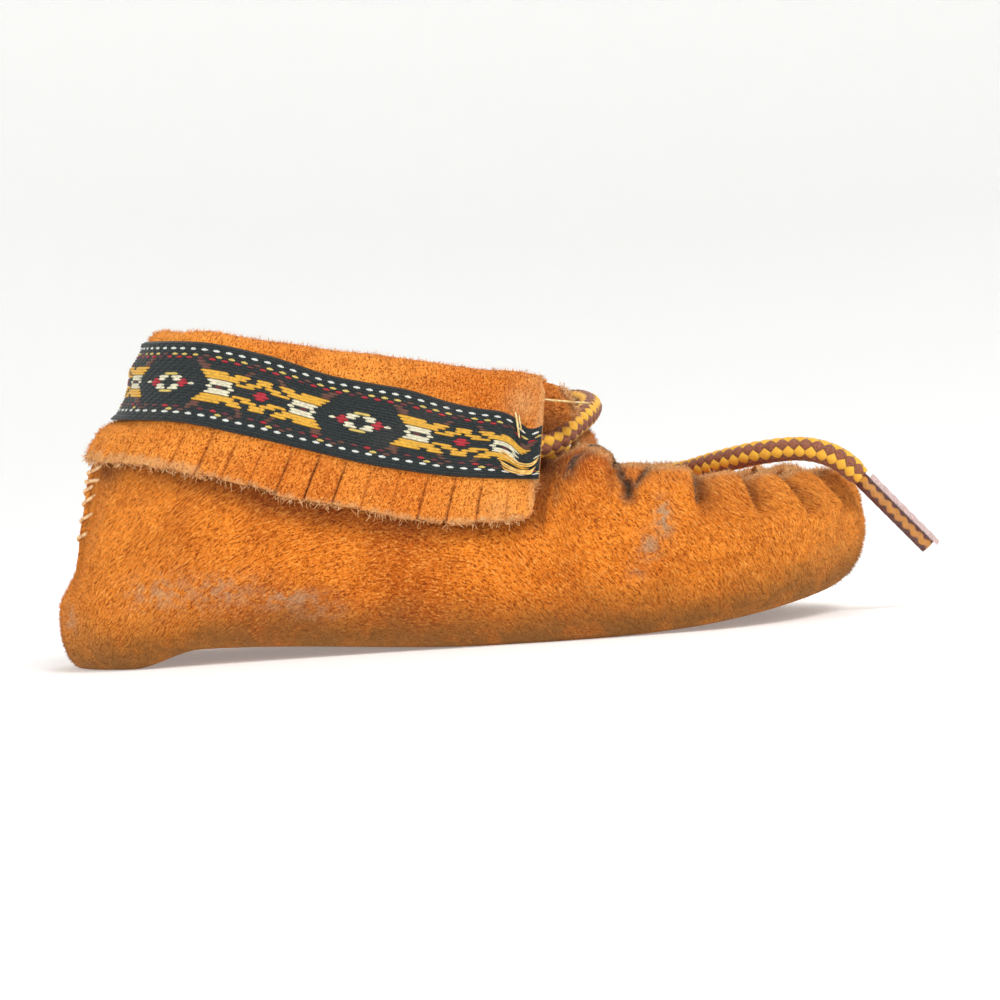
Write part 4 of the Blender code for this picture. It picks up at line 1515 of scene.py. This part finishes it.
def band_middle(turn):
    along = along_of(turn)
    return cuff_outer(turn, (read(BAND_FOOT, along) + read(BAND_TOP, along)) / 2)


MIDDLES = [band_middle(turn) for turn in CUFF_TURNS]
BAND_WAY = distances(MIDDLES)
BAND_LENGTH = BAND_WAY[-1]
BAND_CELLS = int(BAND_LENGTH / CELL)
star = min(range(len(MIDDLES)), key=lambda k: abs(MIDDLES[k].x - STAR_X) + (MIDDLES[k].y > 0) * 99)
STAR_CELL = round(BAND_WAY[star] / CELL)


def run_place(cell, row, letter):
    """Where a cell lies in its float: the share from its start to its end, and its length."""
    if letter == ".":
        return ((cell + 2 * row) % 3 + 0.5) / 3, 3
    start = stop = cell
    while thread_at(start - 1, row) == letter and cell - start < 14:
        start -= 1
    while thread_at(stop + 1, row) == letter and stop - cell < 14:
        stop += 1
    return (cell - start + 0.5) / (stop - start + 1), stop - start + 1


def float_height(position, row_share, row):
    """The relief of the band at a place along it, in cells, and across a row, from 0 to 1."""
    cell = math.floor(position)
    letter = thread_at(cell - STAR_CELL + HALF_REPEAT, row)
    across = math.sqrt(max(0.0, 1 - (2 * row_share - 1) ** 2))
    beside = thread_at(cell - STAR_CELL + HALF_REPEAT, row + (1 if row_share > 0.5 else -1))
    if letter == beside and letter != ".":
        across = 0.78 + 0.22 * across
    if letter == ".":
        phase = ((position + 2 * row) % 3.0) / 3.0
        return 0.62 * across * math.sqrt(max(0.0, math.sin(math.pi * phase)))
    middle, length = run_place(cell - STAR_CELL + HALF_REPEAT, row, letter)
    from_end = (0.5 - abs(middle + (position - cell - 0.5) / length - 0.5)) * length
    return across * (0.45 + 0.55 * smooth(0.0, 1.2, from_end))


def band_place(position, level):
    """A point of the band: `position` in cells from the heel, `level` in rows above its foot."""
    way = position * CELL
    turn = turn_at(way, BAND_WAY)
    along = along_of(turn)
    low = read(BAND_FOOT, along) - 0.2
    high = read(BAND_TOP, along) + read(BAND_RISE, along)
    share = level / BAND_ROWS
    pucker = math.exp(-(((BAND_LENGTH - way - PUCKER_AT) / PUCKER_WIDTH) ** 2))
    high -= 1.2 * pucker
    bell = math.sin(math.pi * min(max(share, 0.0), 1.0))
    share -= 0.13 * pucker * bell
    bulge = 0.8 * pucker * math.exp(-(((share - 0.22) / 0.2) ** 2))
    bulge += 0.2 * pucker * math.sin(way * 1.9) * bell
    point = cuff_face(turn, low + (high - low) * share)
    point.x += PULLED * smooth(6, 0, BAND_LENGTH - way)
    soft = rough(cuff_outer(turn, low), 9.0, 0.3)
    return point, outward(turn), bulge + soft


def woven_band():
    bm = bmesh.new()
    wide, high = 2 * 2 * BAND_CELLS, 4 * BAND_ROWS
    bmesh.ops.create_grid(bm, x_segments=wide, y_segments=high, size=1)
    tint = bm.loops.layers.float_color.new("thread")
    uv = bm.loops.layers.uv.new("Weave")
    for vert in bm.verts:
        position = (vert.co.x + 1) / 2 * 2 * BAND_CELLS - BAND_CELLS
        level = (vert.co.y + 1) / 2 * BAND_ROWS
        for loop in vert.link_loops:
            loop[uv].uv = (position, level)
        row = min(int(level + 1e-6), BAND_ROWS - 1)
        relief = float_height(position + 1e-6, level - row, row - ROWS_DOWN)
        edge = min(level, BAND_ROWS - level)
        relief *= smooth(0.0, 1.0, edge)
        point, out, bulge = band_place(position, level)
        rim = min(BAND_CELLS - abs(position), edge)
        stand = BAND_STAND_OFF * smooth(-0.3, 0.8, rim)
        vert.co = (point + out * (stand + bulge + BAND_RELIEF * relief)) * MM
    for face in bm.faces:
        us, vs = zip(*[loop[uv].uv for loop in face.loops])
        position, level = sum(us) / 4, sum(vs) / 4
        row = min(int(level), BAND_ROWS - 1)
        cell = math.floor(position) - STAR_CELL + HALF_REPEAT
        letter = thread_at(cell, row - ROWS_DOWN)
        if letter != ".":
            place, length = run_place(cell, row - ROWS_DOWN, letter)
            from_end = (0.5 - abs(place + (position % 1.0 - 0.5) / length - 0.5)) * length
            outer_step = abs(level - row - 0.5) > 0.25
            if outer_step and from_end < 0.5 and length > 1:
                letter = "."
        shade = 1.0 + 0.16 * noise.noise(Vector((cell * 0.9, row * 3.7, 0.0)))
        step = min(int((level - row) * 4), 3)
        if letter == ".":
            shade *= 1.0 + 0.7 * noise.noise(Vector((position * 1.1, level * 2.3, 4.0)))
        # Painted shade: the outer steps of a row are darkened into a line between rows, only a little where
        # the next row has the same colour
        if letter == "." or thread_at(cell, row - ROWS_DOWN + (1 if step == 3 else -1)) != letter:
            shade *= (0.45, 1.0, 1.0, 0.8)[step]
        else:
            shade *= (0.84, 1.0, 1.0, 0.95)[step]
        value = [part * shade for part in THREADS[letter][:3]]
        for loop in face.loops:
            loop[tint] = (*value, 1.0)
    return as_mesh(bm, "woven_band")


# %% [markdown]
# The band's material takes its colour from the threads' colour attribute, which holds the threads'
# colours with painted shade between the rows. A noise that is stretched along the floats draws their
# fibres, and dark ground threads keep a little of the green of the dye.


# %% Band material
def band_finish():
    made, tree, shader = new_material("woven_ribbon")
    thread = mark(tree, "thread", "Color")
    weave = node(tree, "UVMap", uv_map="Weave").outputs["UV"]
    fibres = grain(tree, scaled(tree, weave, 0.8, 5.0, 1), 1.0, 3, 0.7)
    slubs = grain(tree, scaled(tree, weave, 2.0, 2.0, 1), 1.0, 2)
    dark = mix(tree, stretch(tree, fibres, 0.62, 0.3, 0, 0.55), thread, colour(18, 26, 26))
    lit = mix(tree, stretch(tree, slubs, 0.5, 0.75, 0, 0.14), dark, colour(128, 150, 146))
    place = object_place(tree)
    fade = stretch(tree, grain(tree, place, 120, 2), 0.5, 0.75, 0, 0.05)
    faded = mix(tree, fade, lit, colour(140, 120, 110))
    looks = {"Base Color": faded, "Normal": bump(tree, fibres, 0.12, 0.7), "Roughness": 0.62}
    put(tree, shader, looks | {"Sheen Weight": 0.12, "Specular IOR Level": 0.35})
    return made


band = piece("woven_band", woven_band(), band_finish(), "woven_ribbon")
print("band:", round(2 * BAND_LENGTH), "mm long,", 2 * BAND_CELLS, "cells")

# %% [markdown]
# ## Threads
#
# The shoe was closed with waxed sinew: flat, dark grey-brown strands that run in the slits, round the
# notch and over the edge into the plug. The heel has tan whip-stitches. A few cream and yellow ends
# of sewing thread have come loose at the band. Each thread is a thin tube laid along a route; the
# routes on the leather are given by length and height, and `near_side` finds the leather there.


# %% Thin tubes
def tubes(name, lines, sides, step):
    """Joins thin tubes into one mesh; a line is its points, its radius and how flat it is."""
    bm = bmesh.new()
    for points, radius, flat in lines:
        route, _ = even_route(points, step)
        frames = rings(route)
        last = len(route) - 1
        made = bmesh.ops.create_grid(bm, x_segments=last, y_segments=sides, size=1)
        for vert in made["verts"]:
            k, j = grid_steps(vert, last, sides)
            angle = math.tau * j / sides
            centre, sideways, upward = frames[k]
            reach = radius * math.sqrt(max(0.0, 1 - abs(2 * k / last - 1) ** 5))
            out = sideways * math.cos(angle) * flat + upward * math.sin(angle)
            vert.co = (centre + out * reach) * MM
    bmesh.ops.remove_doubles(bm, verts=bm.verts, dist=MERGED / 2)
    bmesh.ops.recalc_face_normals(bm, faces=bm.faces)
    return as_mesh(bm, name)


def thread_finish(name, dark, light, roughness):
    made, tree, shader = new_material(name)
    fibre = grain(tree, object_place(tree), 1400, 3, 0.7)
    twine = mix(tree, stretch(tree, fibre, 0.35, 0.65), dark, light)
    fuzz = bump(tree, fibre, 0.08, 0.6)
    put(tree, shader, {"Base Color": twine, "Normal": fuzz, "Roughness": roughness})
    return made


# %% Finding the leather
def on_side(turn, height, lift=0.0):
    """A point of the body's outer face at a turn and about a height."""
    rim, base = raised_rim(turn), widest_height(turn)
    share = min(max((height - base) / (rim - base), 0.0), 1.0)
    return wrapped_point(turn, ("side", share)) + outward(turn) * lift


def near_side(x, height, lift):
    """A point above the right side at a length and about a height."""
    low, high = 0.05, 0.49
    for _ in range(22):
        middle = (low + high) / 2
        low, high = (middle, high) if on_side(middle, height).x < x else (low, middle)
    return on_side(low, height, lift)


# %% Sinew
STRAND_RADIUS = 0.12


def strands(route, count, spread, lift):
    """Several strands that run side by side along a route of (x, height) pairs."""
    found = []
    for k in range(count):
        shift = (k - (count - 1) / 2) * spread
        points = []
        for x, z in route:
            dx = shift + chance.uniform(-0.12, 0.12)
            points.append(near_side(x + dx, z + chance.uniform(-0.15, 0.15), lift + 0.12 * (k % 2)))
        found.append((points, STRAND_RADIUS * chance.uniform(0.8, 1.15), 0.8))
    return found


NOTCH_LEFT = ((25.3, 27.0), (25.8, 25.4), (26.4, 23.4), (27.0, 21.6))
NOTCH_RIGHT = ((31.3, 25.2), (30.1, 23.9), (28.8, 22.6), (27.5, 21.7))
ARC = ((18.2, 24.0), (18.9, 25.7), (20.2, 27.1), (22.3, 28.1), (24.8, 28.8))
sinew_lines = strands(NOTCH_LEFT, 7, 0.17, -0.3) + strands(NOTCH_RIGHT, 6, 0.17, -0.3)
sinew_lines += strands(ARC, 6, 0.2, -0.1)
for turn in valley_turns()[2:6]:
    for right in (True, False):
        here = turn if right else 1 - turn
        rim, into = raised_rim(here), -outward(here)
        for k in range(3):
            shift = (k - 1) * 0.0006
            edge = on_side(here + shift, rim + 5)
            down = [on_side(here + shift, rim - drop, 0.15) for drop in (4.6, 3.2, 1.8, 0.7)]
            over = [edge + Vector((0, 0, 0.12)), edge + into * 1.6 + Vector((0, 0, -0.5))]
            over.append(edge + into * 3.0 + Vector((0, 0, -2.3)))
            sinew_lines.append((down + over, 0.13, 0.8))
sinew_finish = thread_finish("dark_sinew", colour(44, 30, 26), colour(128, 98, 76), 0.75)
piece("sinew_strands", tubes("sinew", sinew_lines, 6, 0.3), sinew_finish)

# %% [markdown]
# The heel's whip-stitches cross over the standing seam: each starts low on the left side and ends
# higher on the right side, where it dives into its hole.

# %% Heel stitches
# The height at the seam, the rise to the hole on the right side, and the way to it
HEEL_STITCHES = (
    (30.2, 1.2, 5.4),
    (28.9, 0.2, 5.2),
    (27.2, 1.1, 3.0),
    (25.4, 1.5, 4.8),
    (22.8, 1.2, 4.6),
    (20.0, 1.0, 4.0),
)
heel_lines = []
for height, rise, right_reach in HEEL_STITCHES:
    points = []
    for way in (-2.4, -1.2, -0.4, 0.4, 0.3 * right_reach, 0.65 * right_reach, right_reach):
        share = way / right_reach
        turn = way / way_round()[-1]
        arch = 0.1 + 0.14 * (1 - max(share, 0.0) ** 2)
        points.append(on_side(turn % 1.0, height + rise * share, arch))
    heel_lines.append((points, 0.33, 0.85))
tan_thread = thread_finish("tan_thread", colour(206, 148, 92), colour(252, 216, 164), 0.7)
piece("heel_stitches", tubes("heel_stitches", heel_lines, 8, 0.25), tan_thread)


# %% Loose ends at the band
def on_band(way_from_front, share, lift):
    """A point above the band, by its way from the front end and its share of the band's width."""
    point, out, bulge = band_place((BAND_LENGTH - way_from_front) / CELL, share * BAND_ROWS)
    return point + out * (BAND_STAND_OFF + bulge + lift)


loose_lines = [
    ([(14.6, -18.6, 36.3), (16.2, -18.3, 35.9), (19.2, -16.6, 35.4), (22.6, -13.2, 34.9)], 0.17, 0.7),
    ([on_band(4.6, 1.1, 0.3), on_band(4.2, 1.0, 0.9), on_band(3.8, 0.88, 0.8), on_band(3.5, 0.78, 0.4)],
     0.2, 0.8),
    ([on_band(4.0, 1.1, 0.2), on_band(3.7, 1.0, 0.9), on_band(3.3, 0.9, 0.7)], 0.14, 0.8),
]
loose_lines = [([Vector(point) for point in points], radius, flat) for points, radius, flat in loose_lines]
cream_thread = thread_finish("cream_thread", colour(214, 178, 96), colour(246, 228, 176), 0.55)
piece("loose_ends", tubes("loose_ends", loose_lines, 6, 0.25), cream_thread)

# Where the band is puckered, long floats of the last figure hang slack
slack = []
for k, level in enumerate((0.40, 0.355, 0.24, 0.205, 0.16)):
    ways = ((6.6 - 0.3 * k, 0.05, 0.15), (4.8, 0.0, 0.4), (3.2, 0.0, 0.5), (1.6, 0.0, 0.4))
    ways += ((0.4 + 0.2 * k, 0.05, 0.2),)
    slack.append(([on_band(way, level + rise, lift) for way, rise, lift in ways], 0.13, 0.7))
gold_thread = thread_finish("gold_thread", colour(222, 164, 70), colour(250, 212, 128), 0.5)
piece("slack_floats", tubes("slack_floats", slack, 6, 0.25), gold_thread)

# %% [markdown]
# ## Nap
#
# Suede is furry when one looks closely. Short cones stand for its fibres: Geometry Nodes scatters
# points over a copy of each suede sheet, as densely as its `nap` mark says, puts a three-sided cone on
# each point, turns it between the surface's normal and the `comb` direction with some chance, and
# makes the cones real. The copies keep the leather's marks, so that the suede's material colours each
# fibre like the leather below it, a little paler towards the tip.


# %% Planting fibres
FIBRE_RADIUS, COMB_SHARE, STRAY, SIZES = 0.05, 0.9, 0.75, (0.55, 1.25)


def geometry(tree, kind, inputs=None, **settings):
    return node(tree, kind, inputs, prefix="GeometryNode", **settings)


def named(tree, name, data_type):
    """The attribute of that name on the surface."""
    return geometry(tree, "InputNamedAttribute", {"Name": name}, data_type=data_type).outputs["Attribute"]


def drawn(tree, low, high, seed):
    """A random number for each fibre."""
    inputs = {2: low, 3: high, "Seed": seed}
    return node(tree, "RandomValue", inputs, prefix="FunctionNode", data_type="FLOAT").outputs[1]


def stored(tree, surface, name, value, domain):
    """The surface with one more attribute on it."""
    inputs = {"Geometry": surface, "Name": name, "Value": value}
    made = geometry(tree, "StoreNamedAttribute", inputs, data_type="FLOAT", domain=domain)
    return made.outputs["Geometry"]


def fibre_nodes(name, per_square_mm, length, seed):
    """A Geometry Nodes tree that turns a surface into the fibres that grow on it."""
    tree = bpy.data.node_groups.new(name, "GeometryNodeTree")
    for way in ("INPUT", "OUTPUT"):
        tree.interface.new_socket("Geometry", in_out=way, socket_type="NodeSocketGeometry")
    surface = tree.nodes.new("NodeGroupInput").outputs[0]
    dense = sums(tree, "MULTIPLY", named(tree, "nap", "FLOAT"), per_square_mm / MM**2)
    inputs = {"Mesh": surface, "Density": dense, "Seed": seed}
    scatter = geometry(tree, "DistributePointsOnFaces", inputs)
    size = {"Vertices": 3, "Radius Top": 0.0, "Radius Bottom": FIBRE_RADIUS * MM, "Depth": length * MM}
    cone = geometry(tree, "MeshCone", size, fill_type="NONE")
    place = geometry(tree, "InputPosition").outputs[0]
    height = node(tree, "SeparateXYZ", {0: place}).outputs[2]
    share = sums(tree, "DIVIDE", height, length * MM)
    tipped = stored(tree, cone.outputs["Mesh"], "tip", share, "POINT")
    comb = {0: named(tree, "comb", "FLOAT_VECTOR"), "Scale": COMB_SHARE}
    combed = node(tree, "VectorMath", comb, operation="SCALE").outputs[0]
    inputs = {0: (-STRAY,) * 3, 1: (STRAY,) * 3, "Seed": seed + 1}
    stray = node(tree, "RandomValue", inputs, prefix="FunctionNode", data_type="FLOAT_VECTOR")
    both = {0: scatter.outputs["Normal"], 1: combed}
    both = node(tree, "VectorMath", both, operation="ADD").outputs[0]
    aim = node(tree, "VectorMath", {0: both, 1: stray.outputs[0]}, operation="ADD").outputs[0]
    turned = node(tree, "AlignRotationToVector", {"Vector": aim}, prefix="FunctionNode", axis="Z")
    inputs = {"Points": scatter.outputs["Points"], "Instance": tipped}
    inputs |= {"Rotation": turned.outputs[0], "Scale": drawn(tree, *SIZES, seed + 2)}
    planted = geometry(tree, "InstanceOnPoints", inputs).outputs[0]
    varied = stored(tree, planted, "tuft", drawn(tree, 0.0, 1.0, seed + 3), "INSTANCE")
    real = geometry(tree, "RealizeInstances", {"Geometry": varied})
    tree.links.new(real.outputs[0], tree.nodes.new("NodeGroupOutput").inputs[0])
    return tree


def fur(name, source, finish, per_square_mm, length, seed):
    """A plain mesh of the fibres that grow on a sheet."""
    planter = bpy.data.objects.new(name + "_bed", source)
    bpy.context.scene.collection.objects.link(planter)
    grow = planter.modifiers.new("Fibres", "NODES")
    grow.node_group = fibre_nodes(name, per_square_mm, length, seed)
    graph = bpy.context.evaluated_depsgraph_get()
    mesh = bpy.data.meshes.new_from_object(planter.evaluated_get(graph))
    mesh.name = name
    bpy.data.objects.remove(planter)
    mesh.materials.clear()
    mesh.shade_smooth()
    return piece(name, mesh, finish)


fur("side_nap", body_mesh, suede, 7.0, 0.62, seed=3)
fur("plug_nap", plug_mesh, suede, 6.0, 0.7, seed=13)
fur("tongue_nap", tongue_mesh, suede, 8.0, 0.9, seed=23)
fur("cuff_nap", cuff_mesh, cuff_suede, 5.0, 0.7, seed=33)
fur("cuff_end_nap", cuff_end_mesh, cuff_suede, 12.0, 1.1, seed=43)


# %% [markdown]
# Raw edges end in longer, curly fibres. They are thin bent tubes that start at random places of the
# fringe's hem, the cuff's front edges, the tongue's free edge and the gathered edge.


# %% Curly fluff at the raw edges
def curl(start, ahead, length):
    """A bent hair from a place, roughly in a direction."""
    points, here = [Vector(start)], Vector(start)
    heading = Vector(ahead).normalized()
    for _ in range(3):
        heading = (heading + 0.95 * Vector([chance.uniform(-1, 1) for _ in range(3)])).normalized()
        here = here + heading * length / 3
        points.append(here)
    return points


HEM_HAIRS, EDGE_HAIRS, END_HAIRS, FOLD_HAIRS, TONGUE_HAIRS, RIM_HAIRS = 1300, 90, 160, 220, 200, 700
cuff_hairs = []
for _ in range(HEM_HAIRS):
    way = chance.uniform(-CUFF_LENGTH + 0.5, CUFF_LENGTH - 0.5)
    out = outward(cuff_turn(way))
    root = cuff_point(way, ("outside", chance.uniform(0.0, 0.03))) - out * chance.uniform(0.0, 0.9)
    hair = curl(root, (0.3 * out.x, 0.3 * out.y, -1), chance.uniform(0.7, 2.0))
    cuff_hairs.append((hair, chance.uniform(0.04, 0.075), 1.0))
for _ in range(EDGE_HAIRS):
    edge = chance.choice((-1, 1)) * (CUFF_LENGTH - chance.uniform(0.0, 0.4))
    root = cuff_point(edge, ("outside", chance.uniform(0.05, 1.0)))
    cuff_hairs.append((curl(root, (1, 0, 0), chance.uniform(0.6, 1.4)), 0.045, 1.0))
for _ in range(END_HAIRS):
    root = cuff_end_point(chance.uniform(0.9, 1.0), chance.uniform(0.0, 1.0))
    cuff_hairs.append((curl(root, (1, -0.4, 0.2), chance.uniform(0.6, 1.6)), 0.045, 1.0))
for _ in range(FOLD_HAIRS):
    way = chance.uniform(-CUFF_LENGTH, CUFF_LENGTH)
    root = cuff_point(way, ("fold", chance.uniform(0.3, 0.6)))
    cuff_hairs.append((curl(root, (0, 0, 1), chance.uniform(0.5, 1.2)), 0.04, 1.0))
hair_finish = thread_finish("tan_fluff", colour(212, 138, 74), colour(252, 208, 150), 0.8)
piece("cuff_fluff", tubes("cuff_fluff", cuff_hairs, 3, 0.35), hair_finish)

side_hairs = []
for _ in range(TONGUE_HAIRS):
    root = tongue_point(chance.uniform(-1, 1), chance.uniform(0.97, 1.0))
    side_hairs.append((curl(root, (0, 0, 1), chance.uniform(0.6, 1.6)), 0.045, 1.0))
for _ in range(RIM_HAIRS):
    turn = chance.uniform(turn_of(0.62), 0.5)
    turn = turn if chance.random() < 0.6 else 1 - turn
    root = wrapped_point(turn, ("side", chance.uniform(0.96, 1.0)))
    side_hairs.append((curl(root, (0, 0, 1), chance.uniform(0.4, 1.1)), 0.05, 1.0))
piece("side_fluff", tubes("side_fluff", side_hairs, 3, 0.35), hair_finish)

# %% [markdown]
# ## Size and finish
#
# Both boxes, the visual model's and the CAD model's, are printed side by side, axis by axis. The
# visual model has to stay inside the CAD model's box but for a little fluff.

# %% Sizes and finish
shown_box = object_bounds()
for axis, low, high, cad_low, cad_high in zip("XYZ", *shown_box, *cad_box):
    print(f"{axis}: {low / MM:.1f} to {high / MM:.1f} mm; CAD {cad_low / MM:.1f} to {cad_high / MM:.1f} mm")
